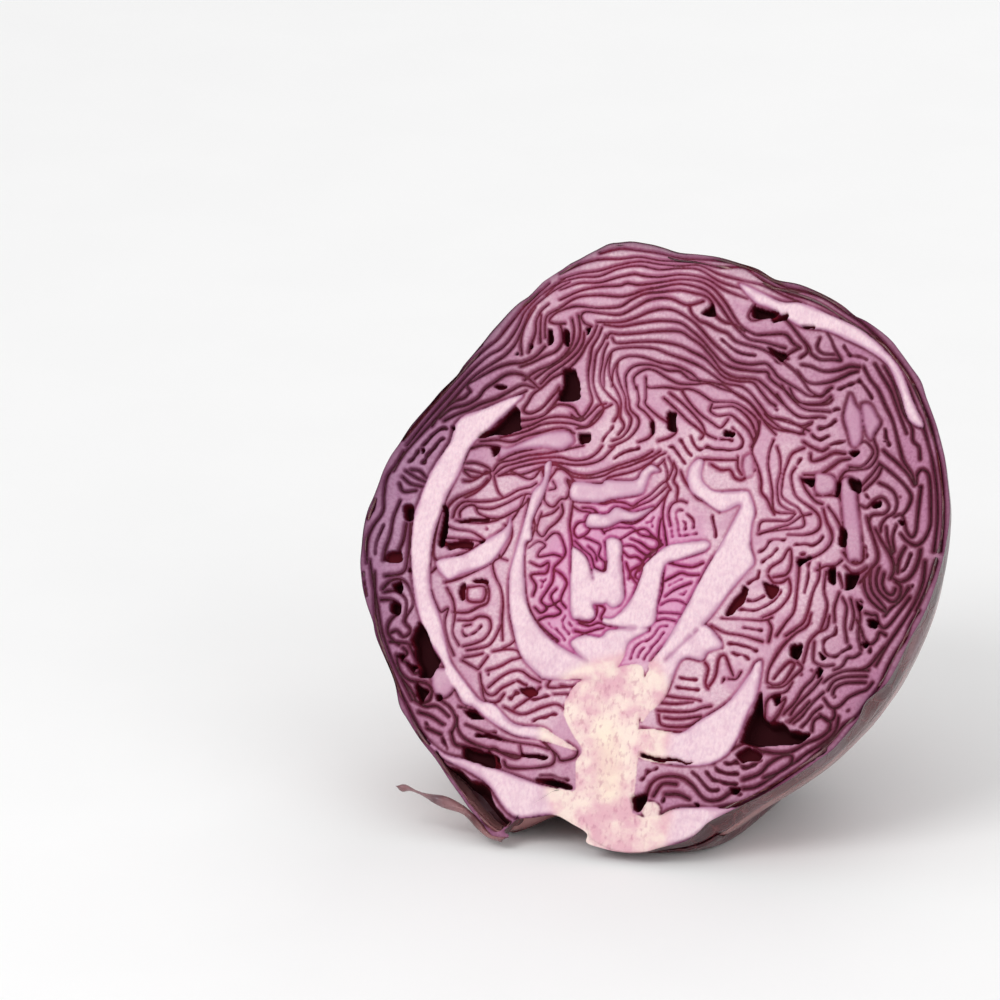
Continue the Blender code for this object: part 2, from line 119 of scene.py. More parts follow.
UPPER_LEFT = [
    [(402,438),(420,416),(437,396),(455,376),(470,360),(485,346),(496,337),(505,326),(514,315),(524,303),
     (536,292),(550,280)],
    [(405,444),(423,421),(440,402),(457,383),(472,367),(488,353),(500,346),(510,335),(518,322),(524,309),
     (535,297),(550,285),(565,275)],
    [(392,470),(403,452),(418,434),(432,419),(446,404),(460,388),(468,379),(480,369),(495,359),(505,352),
     (514,342),(520,330),(525,318),(531,306),(540,298),(555,287),(570,279)],
    [(399,433),(412,416),(430,395),(448,374),(464,357),(480,342)],
    [(470,390),(466,383),(474,378),(484,372),(497,365),(510,361),(522,360),(535,354),(545,344)],
    [(521,352),(520,340),(522,328),(528,315),(535,304)],
    [(528,350),(531,341),(535,330),(536,318),(541,308),(549,301)], [(540,340),(540,325),(541,312)],
    [(560,322),(562,330),(562,340),(556,349),(545,354),(532,360),(520,364)],
    [(572,316),(574,328),(572,340),(565,352),(552,362),(538,368),(528,374),(524,378)],
    [(578,312),(580,325),(579,336),(572,348),(560,359),(546,368),(534,377)],
    [(584,330),(583,340),(576,351),(564,362),(550,372),(540,382)],
    [(597,323),(593,333),(586,343),(581,352),(573,362),(562,371),(551,377),(541,386)],
    [(602,325),(598,335),(592,345),(590,357),(588,370),(589,385),(592,398),(589,406),(583,414),(577,417),
     (571,413)],
    [(606,333),(602,342),(596,352),(594,365),(593,380),(596,392),(600,400),(603,408),(597,418),(588,425),
     (576,427)],
    [(608,341),(604,350),(602,362),(600,375),(602,385),(610,395),(617,402),(618,412),(614,420)],
    [(611,352),(609,365),(611,378),(618,392),(621,402),(620,415),(624,425),(618,434)],
    [(618,360),(617,370),(620,382),(625,395),(626,408),(631,417),(629,427),(622,436),(612,440)],
    [(626,380),(627,390),(629,400),(630,408),(638,417),(638,425),(631,435),(622,441),(610,446)],
    [(637,385),(639,398),(638,405),(645,411),(652,420),(653,430),(648,437),(638,441)],
    [(646,385),(646,397),(645,402),(652,410),(662,418),(672,424),(676,430),(670,436),(658,440)],
    [(443,419),(455,413),(468,408),(480,402),(495,397),(508,390),(522,383),(534,386)],
    [(438,416),(450,407),(465,403),(477,396),(484,387),(494,380),(504,373),(515,371),(526,375),(538,386)],
    [(452,430),(458,423),(470,417),(482,411),(497,403),(512,396),(526,389)],
    [(430,424),(440,410),(452,400),(463,396),(469,390)],
    [(541,386),(533,392),(528,400),(523,409),(530,412),(541,407),(550,397),(556,390),(559,385)],
    [(546,411),(553,403),(560,393),(564,386),(569,378)],
    [(505,424),(515,420),(530,418),(543,414),(551,407),(557,403),(565,403),(573,406),(578,413),(583,417)],
    [(506,430),(520,427),(532,423),(545,417),(558,415),(570,416),(581,419),(590,412),(598,404),(606,402)],
    [(500,436),(515,433),(528,429),(541,423),(556,421),(571,422),(585,425),(593,418),(601,409),(612,403)],
    [(480,440),(497,439),(512,441),(525,435),(540,431),(555,427),(566,427),(574,432)],
]
LEFT_STACK = [
    [(470,447),(482,444),(497,446),(507,449),(520,443),(535,440),(548,437),(560,434),(566,438),(556,443),
     (540,446),(522,450),(508,455),(498,460)],
    [(492,470),(499,462),(512,459),(528,454),(545,452),(560,449),(573,446),(583,444)],
    [(494,473),(503,466),(516,462),(531,458),(546,456),(560,456),(574,459),(588,457),(597,451),(602,445)],
    [(500,474),(512,468),(526,464),(541,461),(556,461),(570,463),(586,463),(600,459),(608,452),(614,446)],
    [(497,475),(508,473),(522,473),(536,468),(550,463),(562,466),(573,472),(588,474),(604,470),(616,465),
     (628,461),(642,456),(652,450)],
    [(555,468),(562,468),(572,475),(587,477),(602,475),(614,469),(628,465),(640,460),(650,456),(660,450)],
    [(568,472),(575,481),(590,482),(603,482),(607,477),(618,474),(630,471),(642,466),(650,461),(658,455),
     (665,452)],
    [(574,484),(590,486),(603,484),(610,480),(622,480),(635,479),(642,473),(650,466),(658,464),(664,458)],
    [(465,462),(475,462),(486,466),(490,470),(484,473),(476,471),(463,468)],
    [(463,480),(470,480),(480,475),(486,470),(490,476),(484,484),(474,492),(464,497)],
    [(463,470),(470,476),(478,476)], [(446,520),(446,508),(455,498),(468,492),(480,486),(487,478)],
    [(452,517),(455,508),(463,501),(478,501),(492,500),(505,496),(518,489),(530,486),(536,482)],
    [(493,475),(495,484),(498,492),(502,496)],
    [(476,507),(490,508),(504,503),(516,497),(525,493),(534,493),(540,488),(543,478),(541,468)],
    [(459,517),(459,511),(466,505),(474,505),(477,512),(488,517),(500,517),(512,511),(522,505),(528,497)],
    [(455,520),(470,522),(484,522),(497,519)],
    [(447,526),(456,529),(470,531),(479,536),(488,541),(497,535),(506,528),(504,524)],
    [(443,537),(455,538),(470,539),(480,541)], [(443,545),(452,543),(463,548),(470,547)],
    [(437,562),(432,555),(433,540),(436,525),(440,510)],
    [(440,560),(452,556),(465,551),(474,546),(484,541)],
    [(430,572),(440,563),(452,561),(466,557),(480,553),(492,548),(500,548),(498,556),(507,560)],
    [(510,520),(511,535),(506,547),(500,556),(492,562),(494,575),(500,588),(502,602),(501,620),(502,640)],
    [(444,582),(458,578),(472,572),(484,566),(491,562)],
    [(446,588),(452,600),(454,615),(452,632),(458,645)],
    [(452,612),(466,612),(478,606),(486,602),(488,590),(484,580)],
    [(430,590),(434,602),(440,612),(447,608),(444,622),(447,640),(453,655)],
    [(456,620),(470,620),(478,616),(488,618),(490,628),(484,638),(474,643),(462,646)],
    [(463,626),(470,624)], [(466,650),(478,648),(488,645),(494,638),(500,625)],
    [(463,657),(474,655),(482,653)], [(492,651),(505,649),(516,650),(520,657)],
    [(502,648),(510,644),(514,640)], [(510,470),(530,478),(541,466)],
    [(466,587),(483,586),(482,600),(467,600),(466,587)], [(525,493),(520,505),(514,515),(510,520)],
    [(528,497),(526,512),(524,530),(519,545),(514,560),(508,580),(508,600),(510,620),(514,640)],
]
HEART = [
    [(541,468),(548,475),(541,490),(540,503),(533,512),(534,525),(531,538),(526,545),(524,560),(524,580),
     (526,600),(533,617),(545,630),(557,640)],
    [(556,467),(549,478),(545,488),(544,500),(552,506),(560,498),(566,497),(569,485),(566,478),(575,484)],
    [(548,489),(555,487),(552,480)],
    [(541,512),(538,520),(536,530),(542,536),(548,528),(556,521),(562,512),(561,503)],
    [(541,516),(552,512),(558,506)],
    [(545,540),(552,533),(558,533),(562,540),(565,552),(560,560),(553,568),(560,573),(566,582),(562,592),
     (560,600),(565,607)],
    [(528,548),(538,541),(545,545),(540,550),(537,556),(543,556),(553,554),(560,556)],
    [(530,562),(540,566),(548,562),(546,572),(538,573),(530,575),(535,585),(532,595)],
    [(553,568),(552,580),(546,590),(540,600),(546,607),(540,612),(534,607)],
    [(556,588),(550,595),(554,604),(560,611),(554,615),(545,616),(537,620)],
    [(545,606),(552,604),(558,600)],
    [(566,480),(572,495),(571,510),(569,525),(571,540),(571,560),(571,580),(571,600),(572,612),(578,620),
     (590,621),(596,612),(595,600)],
    [(572,505),(580,510),(590,512),(588,520),(578,522),(573,530),(577,537),(586,533),(592,526),(600,528),
     (604,533)],
    [(575,500),(590,501),(604,503),(612,501),(624,502),(632,505),(640,500),(650,494),(660,484),(668,478)],
    [(582,507),(592,508),(600,514),(610,512),(618,507),(630,508),(640,504),(650,500),(660,492),(666,486)],
    [(592,521),(604,524),(616,521),(630,523),(640,519),(648,512),(655,507),(661,500),(666,494)],
    [(604,531),(615,527),(626,527),(632,527),(640,534),(650,536),(660,540)],
    [(608,538),(620,538),(632,531),(644,528),(652,535),(662,544)],
    [(574,540),(582,548),(590,555),(593,565),(596,575),(602,584),(606,595),(612,605),(620,603),(622,590),
     (621,575),(620,560),(620,545)],
    [(584,537),(592,540),(600,545),(598,555),(604,562),(602,570),(594,567)],
    [(588,546),(594,552),(596,560)], [(604,541),(606,552),(606,564)],
    [(622,545),(632,545),(640,551),(650,556),(655,552)],
    [(622,550),(628,556),(636,556),(642,562),(636,566),(630,570),(628,578)],
    [(630,538),(640,542),(648,548),(656,549)], [(625,562),(630,575),(636,585),(632,597),(626,606)],
    [(638,566),(634,575),(640,580)], [(598,604),(604,608),(600,617),(604,622)],
    [(578,622),(588,625),(598,622),(606,625),(620,626),(635,625),(646,624)],
    [(574,630),(584,632),(594,629),(603,627)], [(660,545),(650,552),(642,560),(638,570)],
    [(664,560),(662,575),(661,590),(656,605),(651,618),(648,630)],
    [(668,562),(680,565),(692,566),(702,562)], [(664,580),(672,576),(680,572),(688,574),(698,574)],
    [(664,596),(672,590),(680,586),(690,582)], [(660,604),(668,600),(678,600),(686,604)],
    [(657,612),(668,612),(680,613)], [(655,620),(664,618),(674,620)],
    [(670,525),(668,512),(672,503),(680,500),(686,502)], [(668,478),(672,466),(668,456)],
    [(666,545),(664,530),(662,515),(664,500),(668,490)], [(658,545),(658,530),(660,518)],
]
UPPER_RIGHT = [
    [(801,364),(811,366),(820,370),(829,371),(840,369),(849,366),(859,367)],
    [(797,370),(804,379),(811,383),(820,383),(831,381),(843,376),(849,373),(857,371)],
    [(783,361),(794,370),(803,381),(809,390),(820,396),(826,390),(831,387)],
    [(789,387),(794,397),(803,403),(814,404),(826,403),(831,399)],
    [(781,384),(787,393),(797,404),(806,409),(817,410),(829,411)],
    [(776,393),(783,403),(794,414),(803,417),(817,416),(824,417)],
    [(774,417),(787,419),(797,424),(803,424),(811,421)],
    [(764,413),(771,420),(780,427),(790,430),(800,433),(803,427),(810,423)],
    [(803,339),(809,347),(811,353),(820,359),(831,359),(840,360)],
    [(820,337),(817,347),(823,353),(834,354)], [(826,330),(831,339),(834,347),(840,359)],
    [(756,301),(750,310),(749,316),(754,319),(764,316),(774,313),(784,317),(791,324),(800,336),(806,344),
     (807,351),(800,357)], [(784,356),(791,351),(799,347)],
    [(853,447),(861,441),(867,444),(871,451),(867,459),(859,466),(847,466)],
    [(857,487),(869,474),(876,464)], [(861,490),(874,477),(879,467)],
    [(863,367),(869,379),(877,390),(883,404),(890,419),(893,430),(897,447),(901,461),(909,474),(911,483)],
    [(874,364),(881,376),(889,390),(894,404),(899,419),(904,433)],
    [(883,366),(891,381),(896,397),(901,413),(909,427),(910,440),(916,447),(917,459)],
    [(843,409),(842,419),(846,433),(849,444),(854,447)], [(860,404),(861,419),(864,433),(869,440)],
]
MIDDLE = [
    [(401,476),(409,483),(421,486)], [(404,470),(415,477),(424,481)], [(409,469),(418,470),(425,477)],
    [(398,483),(402,491),(415,490)],
    [(402,450),(394,463),(385,477),(382,494),(381,511),(371,526),(365,541),(365,563)],
    [(399,500),(392,517),(389,534),(384,549),(382,560)], [(405,523),(402,539),(398,549)],
    [(409,523),(408,541),(406,557),(404,569),(398,574),(384,576)],
    [(381,589),(389,581),(398,579),(406,584),(411,596),(412,606),(405,617),(404,623),(409,629),(408,634),
     (402,637),(396,631),(389,633)], [(664,461),(667,473),(666,481),(670,489)],
    [(673,461),(676,470),(673,480),(677,487),(676,499)],
    [(680,470),(684,480),(689,487),(696,497),(704,501),(719,511)], [(704,458),(723,459),(737,459)],
    [(710,463),(720,469),(729,469),(734,477),(741,479),(749,473),(754,469)],
    [(737,456),(737,467),(741,474)],
    [(759,420),(757,434),(751,449),(754,459),(757,467),(760,480),(760,491),(766,499),(770,509),(773,514)],
    [(773,439),(769,449),(767,463),(769,477),(771,491),(771,501),(774,511),(794,513)],
    [(776,446),(779,457),(779,470),(776,483),(777,500),(783,507),(793,511)],
    [(803,447),(791,453),(786,463),(783,471),(781,481),(780,494),(786,501),(796,507),(801,514),(809,513)],
    [(794,467),(790,473),(790,481),(793,493),(799,500),(809,507),(816,514),(818,523),(814,530),(803,534),
     (786,534)], [(799,477),(804,489),(813,500),(820,503)],
    [(757,530),(760,521),(773,520),(786,520),(794,513)], [(756,533),(780,526),(789,523),(801,514)],
    [(801,514),(801,526),(780,529),(766,531),(757,534)],
    [(766,571),(769,566),(780,559),(786,549),(789,549),(789,563),(784,573),(771,576)],
    [(766,574),(771,581),(780,581),(786,577),(788,589),(783,600),(773,610),(760,616)],
    [(720,617),(740,618),(760,619),(770,616)], [(709,624),(723,631),(740,634),(760,640)],
    [(766,619),(769,627),(766,640)],
    [(857,504),(864,507),(871,500),(880,497),(886,506),(881,513),(870,514),(866,520),(867,529)],
    [(817,563),(816,577),(810,591),(806,606),(801,620),(794,626),(783,634)],
    [(797,560),(796,574),(794,591),(791,610),(783,621),(774,634)],
    [(823,570),(821,589),(824,603),(821,617),(817,629)], [(836,591),(831,606),(831,620)],
    [(839,596),(843,606),(841,623),(843,640)], [(847,597),(850,613),(847,627)],
]
LOWER_LEFT = [
    [(486,670),(499,666),(510,660),(520,657)],
    [(487,687),(499,677),(510,671),(520,670),(529,676),(539,681)],
    [(479,673),(480,681),(484,699),(496,701),(503,693)],
    [(481,684),(486,693),(493,694),(501,687),(513,681)], [(477,669),(487,656)], [(461,660),(477,669)],
    [(503,706),(521,713),(541,706),(556,703),(567,711)], [(513,707),(527,697),(539,686)],
    [(541,739),(551,749),(554,757),(549,764),(527,767),(507,766),(503,760)],
    [(519,744),(520,754),(513,757),(494,749)], [(450,731),(454,743),(463,746),(479,749),(483,753)],
    [(489,759),(487,751),(493,747),(504,753),(519,756)], [(549,679),(547,686),(570,685),(581,680)],
    [(559,684),(574,686)], [(553,693),(580,691),(587,684)], [(579,693),(594,701)],
    [(541,740),(556,753),(560,759),(573,756),(576,749),(567,741)],
    [(414,700),(424,706),(436,706),(448,716)], [(418,712),(430,716),(442,724)], [(426,728),(440,734)],
]
LOWER_RIGHT = [
    [(664,694),(677,696),(691,697),(699,699)], [(657,701),(674,702),(691,700)],
    [(656,709),(677,710),(691,709),(699,706),(709,704)], [(663,716),(677,717),(699,714)],
    [(657,713),(660,723),(677,725),(689,723),(699,716)], [(640,726),(649,728),(663,729),(680,730)],
    [(706,687),(703,681),(706,667),(703,661)],
    [(707,684),(713,674),(717,656),(723,654),(727,664),(731,674)], [(726,677),(734,677),(739,670)],
    [(704,623),(704,631),(717,636),(720,646)],
    [(643,796),(649,781),(660,774),(677,774),(689,781),(699,793),(706,797),(717,796),(727,789)],
    [(651,793),(660,781),(674,781)], [(663,791),(676,791),(687,796)],
    [(764,680),(771,683),(780,680),(789,667),(791,661),(786,660),(777,669),(771,677)],
    [(766,685),(780,684),(791,674),(799,666),(794,660)],
    [(761,716),(763,700),(770,693),(783,689),(789,680)],
    [(780,711),(791,700),(800,686),(809,677),(813,669)], [(786,719),(797,709),(806,699)],
    [(800,661),(803,650),(806,640),(814,631),(823,626),(826,614)],
    [(914,609),(906,621),(900,637),(890,651),(883,664),(876,680),(869,691),(860,703),(851,714),(840,721),
     (831,731),(821,741),(811,751),(800,761),(786,771),(771,781),(757,790),(740,799),(720,803),(706,806)],
    [(721,751),(733,744),(743,740),(751,744),(760,749)], [(637,754),(660,757),(685,759),(711,760)],
    [(644,808),(645,802),(651,801),(654,806),(651,811),(646,810),(647,805),(651,805)],
]

RIBS = [
    [(454,423),(449,439),(444,447),(435,461),(428,474),(422,489),(418,501),(414,511),(411,526),(409,548),
     (410,570),(414,599),(422,627),(427,639),(436,653),(447,674),(461,701),(473,707),(489,720),(513,734),
     (541,739),(576,749),(554,734),(541,726),(513,722),(494,704),(479,699),(461,677),(451,663),(447,651),
     (439,617),(430,591),(429,563),(433,534),(446,496),(458,473),(469,447),(486,430),(500,417),(523,394),
     (508,397),(480,408),(464,414)],
    [(544,463),(542,480),(531,494),(521,529),(512,560),(508,580),(509,613),(519,653),(537,674),(546,678),
     (581,678),(606,680),(607,674),(584,659),(551,639),(529,610),(524,577),(525,544),(531,539),(532,520),
     (545,489),(551,461)],
    [(689,467),(687,480),(691,491),(700,498),(720,511),(739,504),(734,517),(720,543),(704,569),(686,603),
     (667,637),(650,659),(649,667),(663,659),(691,633),(711,614),(729,590),(746,571),(753,561),(749,544),
     (751,523),(754,511),(749,493),(743,490),(721,491),(711,489),(703,481),(701,473),(703,460),(697,458)],
    [(571,549),(573,546),(586,557),(593,580),(600,591),(606,602),(593,604),(595,613),(591,619),(580,619),
     (570,611)],
    [(606,539),(620,540),(621,560),(623,584),(623,599),(614,607),(607,604),(600,591),(593,580),(592,568),
     (603,571),(606,563)],
    [(664,547),(644,563),(640,574),(629,600),(613,617),(603,617),(606,624),(649,626),(657,599),(664,566),
     (679,559),(706,549),(706,540),(676,543)],
    [(570,641),(583,634),(600,636),(609,629),(641,627),(647,630),(629,641),(623,656),(611,674),(607,674),
     (584,659),(574,650)],
    [(649,667),(663,659),(691,633),(703,623),(717,636),(720,646),(706,651),(700,659),(680,659),(664,694),
     (649,711),(640,720),(640,690)],
    [(637,729),(663,729),(680,730),(699,717),(726,699),(746,674),(753,661),(760,661),(754,694),(746,709),
     (734,737),(721,754),(699,763),(663,761),(637,754)],
    [(627,809),(649,815),(677,804),(727,804),(743,800),(721,811),(691,833),(660,844),(641,849),(620,849),
     (600,845),(586,840),(586,800)],
    [(420,734),(444,753),(470,759),(501,769),(541,783),(570,789),(586,790),(590,834),(576,826),(553,813),
     (519,816),(504,807),(487,784),(467,770),(441,757)],
    [(740,281),(780,299),(800,301),(831,314),(861,329),(883,349),(899,370),(910,399),(921,426),(906,419),
     (897,390),(887,366),(869,351),(846,339),(826,330),(800,325),(771,307),(756,301)],
    [(435,561),(464,553),(486,539),(505,526),(509,514),(511,526),(506,541),(489,563),(461,574),(446,579)],
    [(573,481),(600,483),(606,479),(634,479),(641,470),(651,463),(660,470),(651,473),(646,486),(640,494),
     (610,499),(600,502),(571,499)],
    [(589,513),(606,513),(616,506),(633,511),(654,506),(637,519),(620,521),(606,527),(586,526)],
    [(606,680),(581,680),(570,690),(563,710),(572,732),(582,749),(576,760),(576,790),(582,820),(586,841),
     (600,846),(620,849),(634,848),(630,820),(633,790),(636,762),(637,727),(640,700),(642,668),(630,664),
     (616,668)],
    [(843,409),(842,419),(846,433),(849,444),(854,447),(860,439),(861,426),(860,413),(854,403),(849,393)],
    [(860,404),(861,419),(864,433),(869,440),(873,433),(879,423),(876,416),(869,404)],
    [(813,474),(820,472),(832,476),(833,488),(822,494),(813,490)],
    [(839,480),(853,480),(855,500),(859,540),(858,559),(852,559),(844,557),(840,520)],
    [(743,457),(750,453),(753,462),(752,474),(746,477),(742,468)],
    [(641,801),(648,798),(656,801),(658,808),(653,815),(645,815),(640,809)],
    [(430,672),(440,667),(452,674),(453,688),(444,697),(433,692)],
    [(500,447),(509,447),(521,441),(541,433),(561,429),(570,431),(574,439),(570,444),(560,449),(540,447),
     (514,451),(500,457)],
]
RIB_WHITENESS = [
    1.0, .95, 1.0, .95, .95, 1.0, .95, .9, .95, .85, .8, 1.0, .85, .75,
    .75, 1.0, .45, .45, .35, .4, .35, .6, .5, .55,
]

HOLLOWS = [
    (6.0, [(760,686),(761,714),(767,720),(780,719),(786,727),(809,729),(793,740),(779,743),(757,743),
        (737,739),(740,724),(754,696)]),
    (4.0, [(563,367),(575,366),(578,380),(581,399),(560,399)]), (3.0, [(546,327),(551,327),(553,338),
        (549,344)]),
    (3.0, [(563,323),(569,330),(566,344),(561,340)]), (3.0, [(584,321),(591,324),(587,336)]),
    (2.5, [(529,340),(534,340),(531,350)]), (2.5, [(508,352),(517,348),(517,354)]),
    (4.0, [(751,303),(771,307),(780,311),(764,315),(752,317)]), (3.0, [(713,300),(716,316),(702,312)]),
    (3.0, [(764,344),(789,351),(784,359),(772,352)]), (2.5, [(794,321),(826,331),(805,328)]),
    (2.5, [(771,314),(790,314),(788,320),(771,320)]), (2.5, [(804,351),(809,354),(808,359)]),
    (2.5, [(790,389),(800,399),(795,397)]), (3.0, [(846,451),(859,451),(853,459)]),
    (3.5, [(797,474),(814,477),(809,490)]), (3.5, [(844,474),(859,476),(857,493),(850,486)]),
    (3.0, [(834,480),(839,478),(836,497),(832,496)]), (3.0, [(869,502),(880,498),(879,507),(868,510)]),
    (3.0, [(914,483),(919,484),(917,490)]), (2.0, [(880,439),(886,441),(883,445)]),
    (3.5, [(837,526),(843,530),(841,546),(837,546)]), (4.0, [(796,556),(813,554),(803,563),(797,566)]),
    (4.0, [(823,567),(834,567),(830,583),(824,580)]), (4.0, [(839,571),(860,572),(852,586),(842,589)]),
    (3.5, [(851,601),(861,606),(856,611)]), (4.0, [(861,620),(874,618),(872,629),(863,627)]),
    (4.0, [(855,639),(866,640),(860,649)]), (2.5, [(894,520),(900,520),(898,529)]),
    (4.0, [(441,506),(446,500),(446,530),(441,549),(436,545)]),
    (4.0, [(470,440),(486,432),(500,417),(514,404),(520,409),(520,428),(503,432)]),
    (2.0, [(490,384),(499,381),(508,385),(499,388)]), (2.5, [(478,537),(486,540),(480,543)]),
    (1.5, [(458,519),(490,519),(490,523),(458,523)]), (2.0, [(444,541),(475,541),(472,549),(448,549)]),
    (3.5, [(404,504),(414,504),(412,520),(404,519)]), (3.5, [(388,584),(400,580),(405,588),(400,594)]),
    (3.0, [(404,569),(408,569),(408,577)]), (3.5, [(389,603),(399,604),(398,616),(391,614)]),
    (2.5, [(418,447),(424,447),(421,454)]), (3.0, [(449,423),(454,424),(452,433)]),
    (2.0, [(459,394),(467,395),(462,398)]), (2.5, [(488,446),(498,446),(493,457)]),
    (2.0, [(384,551),(401,553),(401,563),(384,560)]),
    (5.0, [(417,620),(422,627),(427,639),(439,663),(430,677),(417,676),(413,656),(409,641)]),
    (3.5, [(394,654),(404,655),(400,661)]), (3.5, [(401,661),(414,663),(410,671)]),
    (4.0, [(414,681),(427,690),(420,702),(415,695)]), (3.0, [(431,694),(441,697),(436,702)]),
    (4.0, [(459,706),(473,708),(489,720),(470,716)]), (4.0, [(474,731),(499,738),(498,741),(476,735)]),
    (4.0, [(520,750),(549,756),(546,759),(522,754)]), (4.5, [(494,754),(501,757),(500,769),(493,765)]),
    (5.0, [(534,776),(556,776),(576,787),(570,789),(545,782)]), (4.0, [(461,744),(491,752),(501,769),
        (484,763),(464,755)]),
    (4.5, [(630,795),(643,787),(641,800),(637,807),(631,806)]), (3.5, [(687,797),(696,799),(694,804)]),
    (4.0, [(637,752),(650,754),(711,760),(650,758),(638,757)]), (3.5, [(727,783),(739,786),(733,792),
        (728,790)]),
    (2.5, [(731,750),(745,742),(752,746),(760,753),(757,760),(738,758)]),
    (4.0, [(786,641),(800,643),(797,657),(788,655)]), (3.5, [(813,650),(820,655),(826,657),(818,660)]),
    (4.0, [(811,663),(820,668),(814,678)]), (3.5, [(771,693),(780,693),(775,706)]),
    (4.0, [(803,757),(820,743),(822,745),(806,760)]), (2.5, [(577,430),(591,433),(589,444),(578,443)]),
    (1.5, [(458,584),(463,581),(464,600),(459,603)]), (1.5, [(468,580),(486,580),(485,585),(470,584)]),
    (1.8, [(723,616),(732,600),(741,583),(746,588),(742,602),(734,613)]), (1.8, [(758,578),(777,588),
        (771,601),(764,594)]),
    (2.5, [(650,420),(654,420),(654,436),(650,436)]), (3.0, [(664,409),(676,411),(676,429),(666,427)]),
    (3.0, [(721,431),(736,431),(735,437),(722,437)]), (1.3, [(516,686),(530,684),(537,694),(522,696)]),
]

# Seams right of the middle, down to the lower right rim
RIGHT_SIDE = [
    [(876,462),(886,470),(896,479),(904,488),(908,497),(904,508),(899,514)],
    [(881,450),(887,456),(895,463),(905,474),(911,485)],
    [(913,484),(914,474),(919,469),(925,474),(927,490),(927,510),(926,525),(920,538),(912,544),(903,540),
     (897,533)],
    [(918,486),(916,500),(914,515),(912,530),(908,536),(903,531),(901,522),(898,514),(891,516)],
    [(876,482),(884,486),(891,492),(894,502),(891,512),(883,517),(878,524),(877,531)],
    [(864,516),(867,527),(871,540),(874,552),(873,560),(868,566),(862,574),(856,581)],
    [(872,528),(878,540),(885,551),(889,561),(889,570),(886,577)], [(883,526),(884,538),(888,552)],
    [(893,524),(889,536),(890,550)], [(889,577),(894,580),(902,578),(909,570),(914,558),(916,548)],
    [(893,571),(894,560),(898,551),(901,546)],
    [(875,566),(872,577),(874,588),(882,597),(889,600),(895,594),(896,585),(891,580)],
    [(880,572),(878,582),(882,591),(888,593),(891,587)],
    [(867,568),(866,579),(868,590),(875,599),(881,607)],
    [(860,578),(861,588),(866,598),(874,606),(880,610)],
    [(840,551),(845,558),(851,562),(858,560),(860,553),(859,543),(855,531),(852,520),(853,508),(855,497),
     (851,490)], [(842,565),(848,571),(856,571),(863,566)], [(814,569),(822,565),(832,564),(839,559)],
    [(796,558),(808,557),(820,551),(828,542),(829,532),(824,520),(821,508)],
    [(826,506),(833,516),(839,528)], [(853,600),(856,615),(854,632),(857,648)],
    [(852,617),(857,628),(860,637),(866,642),(872,637),(875,630),(881,633)],
    [(861,611),(868,613),(872,613),(874,621),(879,626),(886,621),(897,607),(905,596)],
    [(880,614),(886,607),(896,598),(904,586)],
    [(920,560),(918,580),(911,599),(901,616),(892,629),(881,645),(871,663)],
    [(931,560),(925,579),(918,594),(911,609)], [(802,441),(810,446),(820,450),(826,447)],
    [(809,453),(810,460),(820,458),(832,452),(843,453)],
    [(802,474),(818,473),(828,467),(838,460),(848,458)],
    [(835,487),(838,477),(844,470),(854,469),(866,467),(873,459),(875,450),(872,440),(870,430)],
    [(840,478),(837,492),(840,506),(843,516),(842,526)], [(814,494),(826,494),(836,496),(840,505)],
    [(808,612),(804,624),(792,632),(780,644),(772,656),(766,668),(764,680)],
    [(776,700),(782,696),(780,702),(776,710),(770,718),(764,721)],
    [(811,640),(810,654),(811,660),(820,664),(830,663)],
    [(830,668),(838,664),(843,656),(850,655),(856,651)],
    [(848,668),(858,667),(866,662),(872,654),(880,644)],
    [(820,680),(828,674),(840,669),(854,668),(864,668)],
    [(824,688),(830,679),(840,675),(852,674),(862,674)],
    [(829,692),(831,686),(840,681),(852,680),(861,680)],
    [(820,696),(826,704),(832,705),(838,701),(844,695),(854,690),(862,687),(868,680)],
    [(818,676),(810,686),(801,695),(792,704),(787,712)],
    [(820,690),(811,698),(804,706),(798,714),(790,720)], [(818,704),(810,710),(804,718),(798,724)],
    [(808,728),(810,718),(818,714),(826,720),(824,728)], [(816,712),(824,718),(830,714),(830,706)],
    [(740,776),(756,770),(766,760),(780,752),(788,753),(786,761),(776,768),(760,774)],
    [(760,748),(774,750),(788,748),(802,740),(816,734),(826,726)],
    [(740,785),(752,783),(766,775),(780,765),(792,758),(802,750),(816,741),(826,733),(832,724),(834,714)],
    [(740,806),(756,803),(770,793),(790,781),(810,770),(826,757),(840,740),(852,722),(868,702),(880,685)],
]

# The rim of leaves outside the long left rib, down to the stem
LEFT_RIM = [
    [(373,572),(373,595),(374,615),(379,640),(386,660),(396,685),(406,705),(418,728),(433,748)],
    [(368,560),(371,580),(376,607),(380,630),(386,648),(393,665),(403,684),(411,700)],
    [(379,600),(390,600),(398,605),(396,613),(388,622),(386,632),(391,640),(398,645)],
    [(383,592),(395,591),(405,600),(405,612),(403,622)], [(388,642),(403,643),(415,645)],
    [(408,645),(415,660),(418,670),(413,673),(406,663),(400,660),(406,653),(402,648)],
    [(395,655),(398,670),(408,680),(425,683),(430,690),(428,700),(418,703)],
    [(400,678),(411,692),(415,701)], [(440,700),(450,708),(455,720),(451,732)],
    [(458,706),(475,710),(493,716),(510,722),(530,727),(548,733),(562,742)],
    [(456,716),(457,728),(464,738),(478,745),(498,750),(513,753),(520,755)],
    [(465,724),(480,730),(497,737),(515,741),(535,744),(548,748)],
]

SEAMS = (
    LEFT_RIM + RIGHT_SIDE + CROWN + UPPER_LEFT + LEFT_STACK + HEART + UPPER_RIGHT + MIDDLE
    + LOWER_LEFT + LOWER_RIGHT
)

STEM_ZONE = [
    (560,690),(600,670),(650,660),(660,720),(650,760),(660,800),(650,850),(590,850),(560,800),
    (550,740),
]

